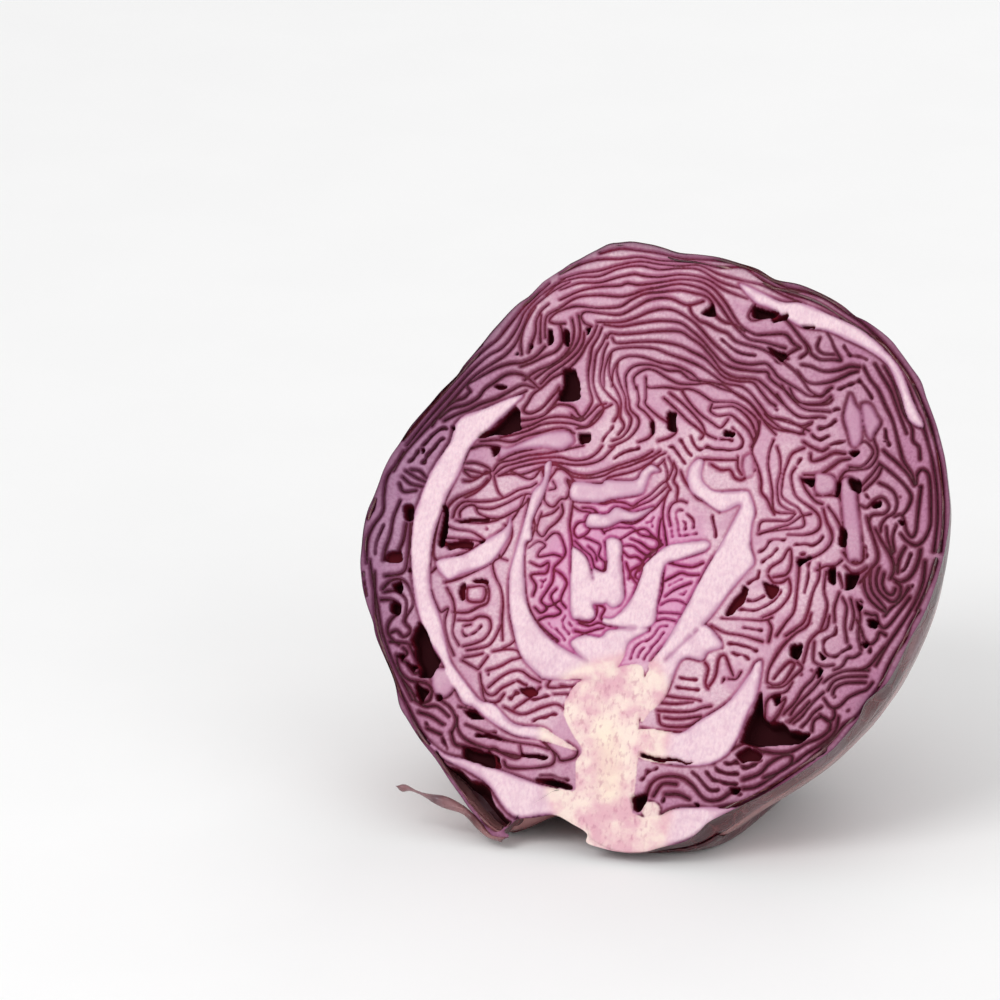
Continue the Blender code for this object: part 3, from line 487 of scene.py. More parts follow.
# How deep the knife laid open the place behind the loose wrapper leaf. As a deep hollow it takes the darkest
# painted shade of the hollows.
WRAPPER_GAP = (9.0, [
    (410,722),(422,740),(434,750),(447,762),(458,768),(469,775),(480,781),(489,792),(497,804),(506,815),
    (514,819),(506,824),
    (500,830),(494,829),(486,822),(474,806),(462,789),(450,774),(438,757),(424,738),
])
STEM_HEART = [(598,712),(612,716),(620,742),(622,775),(616,800),(604,806),(596,786),(598,752),(592,730)]

HOLLOWS.append(WRAPPER_GAP)

# The same reading of the photograph, and the same form, as the solid part has
LEAN = math.radians(32.0)
VIEW_AZIMUTH = math.radians(16.0)
VIEW_ELEVATION = math.radians(20.0)
PX = 0.160 / 585.0
HEAD_DEPTH = 0.080
FLAT_DEPTH = 0.0080
STUMP_PX = (612, 846)
GROWING_POINT_PX = (605, 600)
FACE_CENTRE_PX = (648, 545)
HEAD_PLACE = (0.002402, -0.062793, 0.003971)
OUTLINE_PX = [
    (690, 841), (760, 800), (830, 752), (890, 684), (930, 604), (944, 530), (935, 450),
    (905, 370), (835, 306), (745, 263), (655, 240), (600, 247), (540, 287), (472, 352),
    (400, 432), (362, 512), (366, 590), (390, 680), (430, 742), (470, 800), (508, 834), (570, 842),
]

# The pixel grid that the face is drawn on
LEFT, TOP, WIDE, HIGH = 334, 224, 640, 640
MESH_STEP = 1.0

# Folds on that grid: pixels from one to the next, rounds of growth, and the pixels of the least one kept
FOLD_SPACING, FOLD_ROUNDS, SHORTEST_FOLD = 9.6, 110, 70
WRINKLE_SPACING, WRINKLE_ROUNDS, SHORTEST_WRINKLE = 6.6, 90, 18

# How far the skin lies under the wrapper leaves, how near their side edges come to it, the tip's
# reach in degrees from which a leaf passes the cut, and where the knife trims it
SKIN_DROP = 0.0034
HUG_GAP = 0.0012
PAST_CROWN = 180
KNIFE_AT = 0.0008
BLADE_THICKNESS = 0.0009

# The hollow beside the stump: its place, pull, width and depth in degrees
NOTCH_PX = (548, 836)
NOTCH_PULL, NOTCH_WIDTH, NOTCH_DEPTH = 0.115, 8.5, 40.0

# How fast the traced cut edge fades into the solid's outline, in degrees
EDGE_FADE = 4.5

CAMERA_DISTANCE = 2.0
SENSOR_WIDTH = 36.0
ROOM_LIGHT = 0.68
PICTURE_WIDTH = 1000


def face_matrix():
    """From steps across and up the photograph to steps across and up the leaning face."""
    across = (math.cos(VIEW_AZIMUTH), -math.sin(VIEW_AZIMUTH) * math.sin(VIEW_ELEVATION))
    up = (
        math.sin(LEAN) * math.sin(VIEW_AZIMUTH),
        math.sin(LEAN) * math.cos(VIEW_AZIMUTH) * math.sin(VIEW_ELEVATION)
        + math.cos(LEAN) * math.cos(VIEW_ELEVATION),
    )
    return np.linalg.inv(np.array([across, up]).T) * PX


PHOTO_TO_FACE = face_matrix()


def on_face(pixels):
    """Photo pixels as points (x, z) of the upright cut face."""
    steps = np.asarray(pixels, float) - STUMP_PX
    steps[..., 1] *= -1
    return steps @ PHOTO_TO_FACE.T


GROWING_POINT = on_face(GROWING_POINT_PX)
FACE_CENTRE = on_face(FACE_CENTRE_PX)


def leaned(points):
    """Points of the upright head, as places in the row frame. None is under the floor."""
    cosine, sine = math.cos(LEAN), math.sin(LEAN)
    x = points[..., 0] + HEAD_PLACE[0]
    y = points[..., 1] * cosine + points[..., 2] * sine + HEAD_PLACE[1]
    z = points[..., 2] * cosine - points[..., 1] * sine + HEAD_PLACE[2]
    return np.stack([x, y, np.maximum(z, 0.0)], -1)


def spline(points, step=1.0, closed=False):
    """A smooth curve through points, sampled about every step."""
    points = np.asarray(points, float)
    if closed:
        ring = np.concatenate([points[-1:], points, points[:2]])
    else:
        first, last = 2 * points[0] - points[1], 2 * points[-1] - points[-2]
        ring = np.concatenate([first[None], points, last[None]])
    pieces = []
    for before, start, end, after in zip(ring, ring[1:], ring[2:], ring[3:]):
        count = max(1, int(round(np.linalg.norm(end - start) / step)))
        t = (np.arange(count) / count)[:, None]
        pieces.append(0.5 * (
            2 * start + (end - before) * t + (2 * before - 5 * start + 4 * end - after) * t**2
            + (3 * start - before - 3 * end + after) * t**3
        ))
    if not closed:
        pieces.append(points[-1:])
    return np.concatenate(pieces)


TABLE_ANGLES = np.arange(0, 360, 0.25)


def radial_table(curve, centre):
    """A closed curve's radius round a centre, every quarter of a degree."""
    steps = curve - centre
    angle = np.degrees(np.arctan2(steps[:, 1], steps[:, 0])) % 360
    order = np.argsort(angle)
    return np.interp(TABLE_ANGLES, angle[order], np.hypot(*steps.T)[order], period=360)


SOLID_RADII = radial_table(spline(on_face(OUTLINE_PX), 0.0004, True), GROWING_POINT)
EDGE_CURVE = spline(CUT_EDGE, 1.0, True)
EDGE_RADII = radial_table(on_face(EDGE_CURVE), GROWING_POINT)


def solid_radius(angle):
    return np.interp(angle % 360, TABLE_ANGLES, SOLID_RADII, period=360)


def edge_radius(angle):
    return np.interp(angle % 360, TABLE_ANGLES, EDGE_RADII, period=360)


DOWN = np.array([0.0, math.sin(LEAN), -math.cos(LEAN)])


def dome(angle, dip, at_edge=False):
    """The head's outer form as steps from the growing point. It starts at the cut edge."""
    turn, tilt = np.radians(angle), np.radians(dip)
    radius = solid_radius(angle)
    if at_edge:
        radius = radius + (edge_radius(angle) - radius) * np.exp(-((dip / EDGE_FADE) ** 2))
    reach = radius * np.cos(tilt)
    drift = 1 - np.cos(tilt)
    return np.stack([
        reach * np.cos(turn) + drift * (FACE_CENTRE - GROWING_POINT)[0],
        HEAD_DEPTH * np.sin(tilt) + 0 * turn,
        reach * np.sin(turn) + drift * (FACE_CENTRE - GROWING_POINT)[1],
    ], -1)


def floor_reach():
    """How far down the head reaches from the growing point, to its flat spot."""
    angle, dip = np.meshgrid(np.arange(0, 360, 2.0), np.arange(0, 91, 2.0))
    return float((dome(angle, dip) @ DOWN).max()) - FLAT_DEPTH


FLOOR_REACH = floor_reach()


def head_form(angle, dip, at_edge=False):
    """The outer form with its flat spot."""
    angle, dip = np.broadcast_arrays(angle, dip)
    steps = dome(angle, dip, at_edge)
    return steps * np.minimum(1, FLOOR_REACH / np.maximum(steps @ DOWN, 1e-6))[..., None]


NOTCH = math.degrees(math.atan2(*(on_face(NOTCH_PX) - GROWING_POINT)[::-1])) % 360


def tucked(form, angle, dip):
    """The underside drawn in beside the stump, where no leaf hides the stem's foot."""
    away = (angle - NOTCH + 180) % 360 - 180
    pull = NOTCH_PULL * np.exp(-((away / NOTCH_WIDTH) ** 2)) * np.exp(-((dip / NOTCH_DEPTH) ** 2))
    return form * (1 - pull)[..., None]


def placed(steps):
    return steps + np.array([GROWING_POINT[0], 0.0, GROWING_POINT[1]])


# Drawing the face on the pixel grid
def blur(field, sigma):
    rows = np.fft.fftfreq(field.shape[0])[:, None]
    columns = np.fft.rfftfreq(field.shape[1])[None, :]
    kernel = np.exp(-2 * (math.pi * sigma) ** 2 * (rows**2 + columns**2))
    return np.fft.irfft2(np.fft.rfft2(field) * kernel, field.shape)


def cloud(shape, sigma, seed):
    """Smooth noise with a spread of one."""
    field = blur(np.random.default_rng(seed).standard_normal(shape), sigma)
    return (field - field.mean()) / field.std()


GRID_Y, GRID_X = np.mgrid[TOP:TOP + HIGH, LEFT:LEFT + WIDE].astype(float)


def distance_to(curves, reach, closed=False):
    """Each pixel's distance to the nearest curve, at most reach."""
    best = np.full(GRID_X.shape, float(reach))
    for curve in curves:
        points = np.asarray(curve, float)
        if closed:
            points = np.concatenate([points, points[:1]])
        for (ax, ay), (bx, by) in zip(points[:-1], points[1:]):
            x0 = max(0, int(min(ax, bx) - reach - LEFT))
            x1 = min(WIDE, int(max(ax, bx) + reach - LEFT) + 2)
            y0 = max(0, int(min(ay, by) - reach - TOP))
            y1 = min(HIGH, int(max(ay, by) + reach - TOP) + 2)
            if x0 >= x1 or y0 >= y1:
                continue
            px, py = GRID_X[y0:y1, x0:x1] - ax, GRID_Y[y0:y1, x0:x1] - ay
            dx, dy = bx - ax, by - ay
            t = np.clip((px * dx + py * dy) / max(dx * dx + dy * dy, 1e-9), 0, 1)
            window = best[y0:y1, x0:x1]
            np.minimum(window, np.hypot(px - t * dx, py - t * dy), out=window)
    return best


def inside(polygon):
    """True at the pixels inside a closed polygon."""
    points = np.asarray(polygon, float)
    result = np.zeros(GRID_X.shape, bool)
    y0 = max(0, int(points[:, 1].min()) - TOP)
    y1 = min(HIGH, int(points[:, 1].max()) - TOP + 2)
    x, y = GRID_X[y0:y1], GRID_Y[y0:y1]
    window = result[y0:y1]
    for (ax, ay), (bx, by) in zip(points, np.roll(points, -1, axis=0)):
        if ay == by:
            continue
        crosses = (y >= min(ay, by)) & (y < max(ay, by))
        window ^= crosses & (x < ax + (y - ay) * (bx - ax) / (by - ay))
    return result


def smoothstep(low, high, value):
    t = np.clip((value - low) / (high - low), 0, 1)
    return t * t * (3 - 2 * t)


def sample(field, x, y):
    """A pixel field's values between its pixels."""
    x, y = np.clip(x - LEFT, 0, WIDE - 1.001), np.clip(y - TOP, 0, HIGH - 1.001)
    column, row = x.astype(int), y.astype(int)
    u, v = x - column, y - row
    upper = field[row, column] * (1 - u) + field[row, column + 1] * u
    lower = field[row + 1, column] * (1 - u) + field[row + 1, column + 1] * u
    return upper * (1 - v) + lower * v


def grow_folds(start, held, target, spacing, rounds):
    """Lets a pattern of folds of one spacing settle. Held pixels stay at their target."""
    shape = start.shape
    rows = 2 * math.pi * np.fft.fftfreq(shape[0])[:, None]
    columns = 2 * math.pi * np.fft.rfftfreq(shape[1])[None, :]
    wave = (rows**2 + columns**2) / (2 * math.pi / spacing) ** 2
    gain = 0.40 - (1 - wave) ** 2
    step = 0.5
    pattern = np.clip(start, -1.4, 1.4)
    for _ in range(rounds):
        pattern = pattern + held * (target - pattern)
        spectrum = np.fft.rfft2(pattern + step * (-0.15 * pattern**2 - pattern**3))
        pattern = np.clip(np.fft.irfft2(spectrum / (1 - step * gain), shape), -1.4, 1.4)
    return pattern + held * (target - pattern)


def long_pieces(mask, least):
    """The pieces of a mask that cover at least so many pixels."""
    label = np.where(mask, np.arange(1, mask.size + 1).reshape(mask.shape), 0)
    for _ in range(260):
        spread = label
        for axis in (0, 1):
            for shift in (-1, 1):
                spread = np.maximum(spread, np.roll(label, shift, axis))
        label = spread * mask
    return mask & (np.bincount(label.ravel())[label] >= least)


def open_edges(masks, covered):
    """The ribs' outlines, without the stretches where one rib runs into another."""
    kept = []
    for outline, mask in zip(RIBS, masks):
        curve = spline(outline, 2.0, True)
        curve = np.concatenate([curve, curve[:1]])
        column, row = (curve[:, 0] - LEFT).astype(int), (curve[:, 1] - TOP).astype(int)
        free = (covered - mask)[row, column] == 0
        breaks = np.nonzero(np.diff(free.astype(int)))[0] + 1
        for run, is_free in zip(np.split(curve, breaks), np.split(free, breaks)):
            if is_free[0] and len(run) > 2:
                kept.append(run)
    return kept


def share_of_head(x, y):
    """How far out pixels lie: 0 at the growing point and 1 at the cut edge."""
    edge = EDGE_CURVE - np.array(GROWING_POINT_PX)
    edge_angle = np.arctan2(-edge[:, 1], edge[:, 0])
    order = np.argsort(edge_angle)
    dx, dy = x - GROWING_POINT_PX[0], y - GROWING_POINT_PX[1]
    angle = np.arctan2(-dy, dx)
    reach = np.interp(angle, edge_angle[order], np.hypot(*edge.T)[order], period=2 * math.pi)
    return np.hypot(dx, dy) / reach


def draw_ribs():
    """How white each pixel's rib is, and its distance to the nearest open edge of a rib."""
    rib = np.zeros(GRID_X.shape)
    masks = [inside(spline(outline, 2.0, True)) for outline in RIBS]
    for mask, whiteness in zip(masks, RIB_WHITENESS):
        rib = np.maximum(rib, whiteness * mask)
    covered = sum(mask.astype(int) for mask in masks)
    return rib, distance_to(open_edges(masks, covered), 10)


def draw_hollows():
    """Where the openings are, and how deep, with edges that wander a little. Their colour is darkened with
    depth as painted shade.
    """
    hollow = np.zeros(GRID_X.shape)
    hollow_distance = distance_to([h for _, h in HOLLOWS], 14, True)
    for depth, outline in HOLLOWS:
        hollow = np.maximum(hollow, depth * inside(outline))
    wander_x, wander_y = (1.2 * cloud(GRID_X.shape, 5.5, seed) for seed in (11, 12))
    hollow = sample(hollow, GRID_X + wander_x, GRID_Y + wander_y)
    hollow_distance = sample(hollow_distance, GRID_X + wander_x, GRID_Y + wander_y)
    in_hollow = blur((hollow > 1.0).astype(float), 1.3) > 0.60
    return in_hollow, np.where(in_hollow, np.minimum(hollow, 0.7 + 1.3 * hollow_distance), 0)


def first_folds(layer):
    """Rings round the growing point that wander, for the folds to grow from."""
    inner = smoothstep(0.98, 0.6, layer)
    phase = 2 * math.pi * (layer * 31 + 0.6 * cloud(GRID_X.shape, 24, 1) * smoothstep(0.2, 0.5, layer))
    meander = smoothstep(0.96, 0.86, layer) * smoothstep(0.6, 0.8, layer) * smoothstep(380, 460, GRID_Y)
    phase = phase + (0.5 + 1.6 * inner + 2.2 * meander) * cloud(GRID_X.shape, 9, 2)
    phase = phase + 4.5 * inner * cloud(GRID_X.shape, 22, 3)
    return 0.9 * np.cos(phase) + 0.08 * cloud(GRID_X.shape, 3, 4)


def draw_folds(layer, heart, solid, seam_distance, rib_distance):
    """The folds that fill the face between its traced seams, from 0 to 1."""
    start = first_folds(layer)
    seam_target = -np.cos(math.pi * np.clip(seam_distance / 4.3, 0, 1))
    rib_target = -np.cos(math.pi * np.clip((rib_distance + 0.6) / 4.3, 0, 1))
    target = np.where(rib_distance < 4, np.minimum(seam_target, rib_target), seam_target)
    target = np.where(solid, 1.0, target)
    held = np.maximum(np.exp(-((seam_distance / 2.3) ** 4)), np.exp(-((rib_distance / 2.6) ** 4)))
    held = np.maximum(held, solid)
    coarse = grow_folds(start, held, target, FOLD_SPACING, FOLD_ROUNDS)
    fine = grow_folds(start, held, target, WRINKLE_SPACING, WRINKLE_ROUNDS)
    pattern = coarse * (1 - heart) + fine * heart
    share = np.maximum(blur((~solid).astype(float), 5), 0.15)
    strength = np.sqrt(np.maximum(2 * blur(pattern**2 * ~solid, 5) / share, 0.0))
    body = 1.32 + 0.22 * cloud(GRID_X.shape, 12, 8)
    grown = np.clip(-body * pattern / np.maximum(strength, 0.35), 0, 1)
    grown = grown * smoothstep(0.24, 0.30, blur((grown > 0.6).astype(float), 2.2))
    lines = (grown > 0.5) | (seam_distance < 2.0) | (rib_distance < 1.5)
    kept = long_pieces(lines, SHORTEST_FOLD) | (long_pieces(lines, SHORTEST_WRINKLE) & (heart > 0.4))
    grown = grown * blur(kept.astype(float), 0.8)
    return grown * smoothstep(0.5, 1.6, seam_distance)


def draw_face():
    """The fields that the face's shape and colour come from, each on the pixel grid."""
    seam_distance = distance_to([spline(seam, 2.0) for seam in SEAMS], 12)
    rim_distance = distance_to([EDGE_CURVE], 60)
    rib, rib_distance = draw_ribs()
    in_hollow, depth = draw_hollows()
    in_rib = rib > 0
    in_stem = inside(STEM_ZONE)
    layer = share_of_head(GRID_X, GRID_Y)
    heart = smoothstep(0.36, 0.24, layer)
    solid = in_rib | in_hollow | ~inside(EDGE_CURVE)
    grown = draw_folds(layer, heart, solid, seam_distance, rib_distance)
    traced = np.exp(-((seam_distance / (2.2 + 0.35 * cloud(GRID_X.shape, 10, 6))) ** 2))
    rib_edge = np.exp(-((rib_distance / 2.0) ** 2)) * np.clip(0.84 + 0.25 * cloud(GRID_X.shape, 9, 7), 0, 1)
    fold = np.maximum(np.maximum(grown, traced), rib_edge * ~in_stem)
    fold = np.where(in_rib, rib_edge * ~in_stem * 0.8, fold)
    fold = np.where(in_hollow, 1.0, fold)
    rib_inside = rib * np.clip(0.35 + rib_distance / 7.0, 0, 1)
    below_crown = GRID_Y + 0.15 * np.abs(GRID_X - GROWING_POINT_PX[0])
    return {
        "fold": blur(fold, 0.55),
        "rib": blur(rib, 0.9),
        "whiteness": blur(rib_inside, 1.0),
        "hollow": blur(in_hollow.astype(float), 0.7),
        "depth": blur(depth, 0.8),
        "rim": np.exp(-rim_distance / 7.0),
        "heart": heart,
        "stem": blur(in_stem.astype(float), 12),
        "cream": blur(inside(STEM_HEART).astype(float), 9),
        "outer": smoothstep(0.50, 0.95, layer) * smoothstep(270, 400, below_crown),
        "side": smoothstep(500, 380, GRID_X + 0.3 * (GRID_Y - 500)),
        "shade": np.clip(0.5 + 0.25 * cloud(GRID_X.shape, 16, 9), 0, 1),
    }



# Materials
def linear(colour):
    """A colour as it looks on a screen, from 0 to 255, as light."""
    shares = [c / 255 for c in colour]
    return tuple(s / 12.92 if s < 0.04045 else ((s + 0.055) / 1.055) ** 2.4 for s in shares) + (1.0,)


class Surface:
    """A Principled material whose colour is laid on layer by layer."""

    def __init__(self, name, roughness, coat=0.0, subsurface=0.0):
        self.made = bpy.data.materials.new(name)
        self.made.use_nodes = True
        self.nodes = self.made.node_tree.nodes
        self.links = self.made.node_tree.links
        self.shader = self.nodes["Principled BSDF"]
        self.shader.inputs["Roughness"].default_value = roughness
        self.shader.inputs["Coat Weight"].default_value = coat
        self.shader.inputs["Coat Roughness"].default_value = 0.22
        self.shader.inputs["Subsurface Weight"].default_value = subsurface
        self.shader.inputs["Subsurface Radius"].default_value = (0.8, 0.3, 0.4)
        self.shader.inputs["Subsurface Scale"].default_value = 0.002
        self.place = self.nodes.new("ShaderNodeTexCoord").outputs["Object"]

    def field(self, name):
        node = self.nodes.new("ShaderNodeAttribute")
        node.attribute_name = name
        return node.outputs["Fac"]

    def noise(self, size, detail=4.0, low=0.35, high=0.65, stretch=None):
        place = self.place
        if stretch:
            mapping = self.nodes.new("ShaderNodeMapping")
            mapping.inputs["Scale"].default_value = stretch
            self.links.new(place, mapping.inputs["Vector"])
            place = mapping.outputs["Vector"]
        node = self.nodes.new("ShaderNodeTexNoise")
        node.inputs["Scale"].default_value = 1 / size
        node.inputs["Detail"].default_value = detail
        self.links.new(place, node.inputs["Vector"])
        return self.span(node.outputs["Fac"], low, high)

    def span(self, value, low, high, bottom=0.0, top=1.0):
        node = self.nodes.new("ShaderNodeMapRange")
        node.interpolation_type = "SMOOTHSTEP"
        for socket, number in (("From Min", low), ("From Max", high), ("To Min", bottom), ("To Max", top)):
            node.inputs[socket].default_value = number
        self.links.new(value, node.inputs["Value"])
        return node.outputs["Result"]

    def sum(self, operation, first, second):
        node = self.nodes.new("ShaderNodeMath")
        node.operation = operation
        for socket, value in zip(node.inputs, (first, second)):
            if isinstance(value, (int, float)):
                socket.default_value = value
            else:
                self.links.new(value, socket)
        return node.outputs["Value"]

    def mix(self, first, second, share):
        node = self.nodes.new("ShaderNodeMix")
        node.data_type = "RGBA"
        for socket, value in (("A", first), ("B", second)):
            socket = next(s for s in node.inputs if s.name == socket and s.type == "RGBA")
            if isinstance(value, tuple):
                socket.default_value = linear(value)
            else:
                self.links.new(value, socket)
        factor = next(s for s in node.inputs if s.name == "Factor" and s.type == "VALUE")
        if isinstance(share, float):
            factor.default_value = share
        else:
            self.links.new(share, factor)
        return next(s for s in node.outputs if s.type == "RGBA")

    def colour(self, value):
        self.links.new(value, self.shader.inputs["Base Color"])

    def roughness(self, value):
        self.links.new(value, self.shader.inputs["Roughness"])

    def bump(self, height, strength, distance=0.0004):
        node = self.nodes.new("ShaderNodeBump")
        node.inputs["Strength"].default_value = strength
        node.inputs["Distance"].default_value = distance
        self.links.new(height, node.inputs["Height"])
        self.links.new(node.outputs["Normal"], self.shader.inputs["Normal"])


def cut_surface():
    """Lavender flesh, dark skins at the folds, white ribs and the cream stem. The tint beside the skins is
    partly pigment and partly painted shade of the rounded ribbons; the hollows are dark red skin, darkened
    with depth as painted shade.
    """
    s = Surface("cut_leaves", 0.5, coat=0.02, subsurface=0.06)
    s.shader.inputs["Specular IOR Level"].default_value = 0.18
    grain = s.noise(0.0009, 6.0, 0.25, 0.75)
    patches = s.noise(0.010, 3.0)
    outer = s.field("outer")
    fold = s.sum("ADD", s.field("fold"), s.sum("MULTIPLY", s.sum("SUBTRACT", grain, 0.5), 0.10))
    flesh = s.mix((230, 198, 208), (210, 162, 184), patches)
    flesh = s.mix(flesh, (190, 136, 164), s.sum("MULTIPLY", grain, 0.5))
    flesh = s.mix(flesh, (174, 108, 144), s.sum("MULTIPLY", outer, 0.78))
    flesh = s.mix(flesh, (140, 116, 150), s.sum("MULTIPLY", s.field("side"), 0.35))
    flesh = s.mix(flesh, (224, 142, 192), s.sum("MULTIPLY", s.field("heart"), 0.45))
    # Tint beside the skins: pigment colours, also used as painted shade on the sides of the rounded ribbons
    tint_and_shade = s.mix((184, 106, 142), (160, 74, 108), s.field("shade"))
    tint_and_shade = s.mix(tint_and_shade, (94, 22, 46), s.sum("MULTIPLY", outer, 0.9))
    tint_and_shade = s.mix(tint_and_shade, (90, 56, 92), s.sum("MULTIPLY", s.field("side"), 0.4))
    tint_and_shade = s.mix(tint_and_shade, (188, 56, 138), s.sum("MULTIPLY", s.field("heart"), 0.6))
    # How far the tint spreads from the skins: partly pigment, partly painted shade of the rounded ribbons,
    # whose middles stay light flesh
    wide = s.sum("POWER", s.sum("MAXIMUM", fold, 0.0), 0.55)
    wide = s.sum("ADD", wide, s.sum("MULTIPLY", outer, 0.16))
    flesh = s.mix(flesh, tint_and_shade, s.span(wide, 0.08, 0.90, 0.0, 0.94))
    flesh = s.mix(flesh, (96, 40, 74), s.sum("MULTIPLY", s.field("rim"), 0.75))
    fibres = s.noise(0.0008, 4.0, 0.3, 0.8, (1.0, 1.0, 0.16))
    blotch = s.noise(0.006, 4.0, 0.35, 0.65)
    pale = s.mix((242, 214, 221), (226, 190, 206), fibres)
    whitest = s.sum("ADD", s.field("whiteness"), s.sum("MULTIPLY", blotch, 0.3))
    pale = s.mix((206, 160, 184), pale, s.span(whitest, 0.55, 1.15))
    pale = s.mix((168, 104, 142), pale, s.span(s.field("whiteness"), 0.12, 0.62))
    stem = s.mix((250, 230, 216), (226, 172, 184), blotch)
    pale = s.mix(pale, stem, s.span(s.field("stem"), 0.02, 0.25, 0.0, 0.85))
    pale = s.mix(pale, (250, 234, 208), s.span(s.field("cream"), 0.0, 1.0, 0.0, 0.6))
    strand = s.noise(0.0011, 3.0, 0.5, 0.72, (1.0, 1.0, 0.13))
    in_stem = s.span(s.field("stem"), 0.25, 0.9, 0.0, 0.42)
    pale = s.mix(pale, (186, 108, 138), s.sum("MULTIPLY", strand, in_stem))
    flesh = s.mix(flesh, pale, s.span(s.field("rib"), 0.1, 0.75))
    dark = s.mix((126, 20, 54), (92, 8, 32), patches)
    dark = s.mix(dark, (46, 2, 12), s.sum("MULTIPLY", outer, 0.85))
    flesh = s.mix(flesh, dark, s.span(fold, 0.68, 0.93, 0.0, 0.96))
    # Hollows: dark red skin, darkened with depth as painted shade
    deep = s.mix((104, 20, 40), (44, 6, 14), s.span(s.field("depth"), 0.6, 2.6))
    flesh = s.mix(flesh, deep, s.span(s.field("hollow"), 0.3, 0.75))
    s.colour(flesh)
    s.roughness(s.span(s.noise(0.0025, 5.0), 0.1, 0.9, 0.36, 0.6))
    s.bump(s.sum("ADD", grain, s.sum("MULTIPLY", fibres, 0.4)), 0.3, 0.0003)
    return s.made


def hollow_skin_and_shade_surface():
    """Dark red skin between leaves, darkened the deeper it lies as painted shade."""
    s = Surface("between_leaves_painted_shade", 0.8)
    s.shader.inputs["Specular IOR Level"].default_value = 0.12
    s.colour(s.mix((110, 18, 34), (52, 8, 16), s.span(s.field("depth"), 0.8, 3.2)))
    return s.made


def skin_surface(name, dusty=0.3):
    """Waxy maroon skin with veins, a net of veinlets and a dusty bloom."""
    s = Surface(name, 0.34, coat=0.35, subsurface=0.03)
    broad = s.noise(0.022, 4.0, 0.3, 0.7)
    fine = s.noise(0.0018, 6.0, 0.3, 0.75)
    skin = s.mix((92, 26, 32), (58, 14, 26), broad)
    skin = s.mix(skin, (120, 44, 50), s.span(s.noise(0.006, 5.0, 0.45, 0.8), 0.0, 1.0, 0.0, 0.5))
    net = s.nodes.new("ShaderNodeTexVoronoi")
    net.feature = "DISTANCE_TO_EDGE"
    net.inputs["Scale"].default_value = 1 / 0.0062
    warp = s.nodes.new("ShaderNodeTexNoise")
    warp.inputs["Scale"].default_value = 1 / 0.006
    shifted = s.nodes.new("ShaderNodeVectorMath")
    shifted.operation = "MULTIPLY_ADD"
    shifted.inputs[1].default_value = (0.004, 0.004, 0.004)
    s.links.new(s.place, warp.inputs["Vector"])
    s.links.new(warp.outputs["Color"], shifted.inputs[0])
    s.links.new(s.place, shifted.inputs[2])
    s.links.new(shifted.outputs[0], net.inputs["Vector"])
    veinlets = s.span(net.outputs["Distance"], 0.0, 0.085, 1.0, 0.0)
    skin = s.mix(skin, (134, 66, 72), s.sum("MULTIPLY", veinlets, 0.30))
    skin = s.mix(skin, (176, 122, 122), s.span(s.field("vein"), 0.15, 0.95, 0.0, 0.85))
    bloom = s.sum("MULTIPLY", s.noise(0.016, 6.0, 0.42, 0.72), s.span(fine, 0.0, 1.0, 0.55, 1.0))
    skin = s.mix(skin, (146, 122, 132), s.sum("MULTIPLY", bloom, dusty))
    skin = s.mix(skin, (44, 12, 18), s.span(s.field("edge"), 0.2, 1.0, 0.0, 0.5))
    s.colour(skin)
    s.roughness(s.span(bloom, 0.0, 1.0, 0.26, 0.56))
    height = s.sum("ADD", s.sum("MULTIPLY", veinlets, 0.8), s.sum("MULTIPLY", fine, 0.35))
    s.bump(height, 0.5, 0.0005)
    return s.made


# Pieces
def mesh_piece(name, points, faces, fields, material, nodes):
    """An object that rides on the part, with a number for each of its points in each field."""
    mesh = bpy.data.meshes.new(name)
    mesh.from_pydata(np.asarray(points, float).reshape(-1, 3).tolist(), [], np.asarray(faces).tolist())
    for field, values in fields.items():
        attribute = mesh.attributes.new(field, "FLOAT", "POINT")
        attribute.data.foreach_set("value", np.asarray(values, np.float32).ravel())
    mesh.materials.append(material)
    mesh.shade_smooth()
    made = bpy.data.objects.new(name, mesh)
    bpy.context.scene.collection.objects.link(made)
    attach(made, "root")
    if nodes:
        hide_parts(*nodes)
    return made


def grid_faces(rows, columns, wrap=False, keep=None):
    """Quads of a grid of points, as rows of four indices."""
    row, column = np.mgrid[0:rows - 1, 0:columns if wrap else columns - 1]
    ahead = (column + 1) % columns
    this_row, next_row = row * columns, (row + 1) * columns
    quads = np.stack([this_row + column, this_row + ahead, next_row + ahead, next_row + column], -1)
    if keep is not None:
        quads = quads[keep]
    return quads.reshape(-1, 4)


def sheet_faces(rows, columns):
    """The faces of a sheet of two grids of points, its front and its back, closed round the edge."""
    front = grid_faces(rows, columns)
    loop = np.concatenate([
        np.arange(columns), columns * np.arange(1, rows) + columns - 1,
        columns * (rows - 1) + np.arange(columns - 2, -1, -1), columns * np.arange(rows - 2, 0, -1),
    ])
    ahead = np.roll(loop, -1)
    band = np.stack([loop, loop + rows * columns, ahead + rows * columns, ahead], -1)
    return np.concatenate([front, front[:, ::-1] + rows * columns, band])


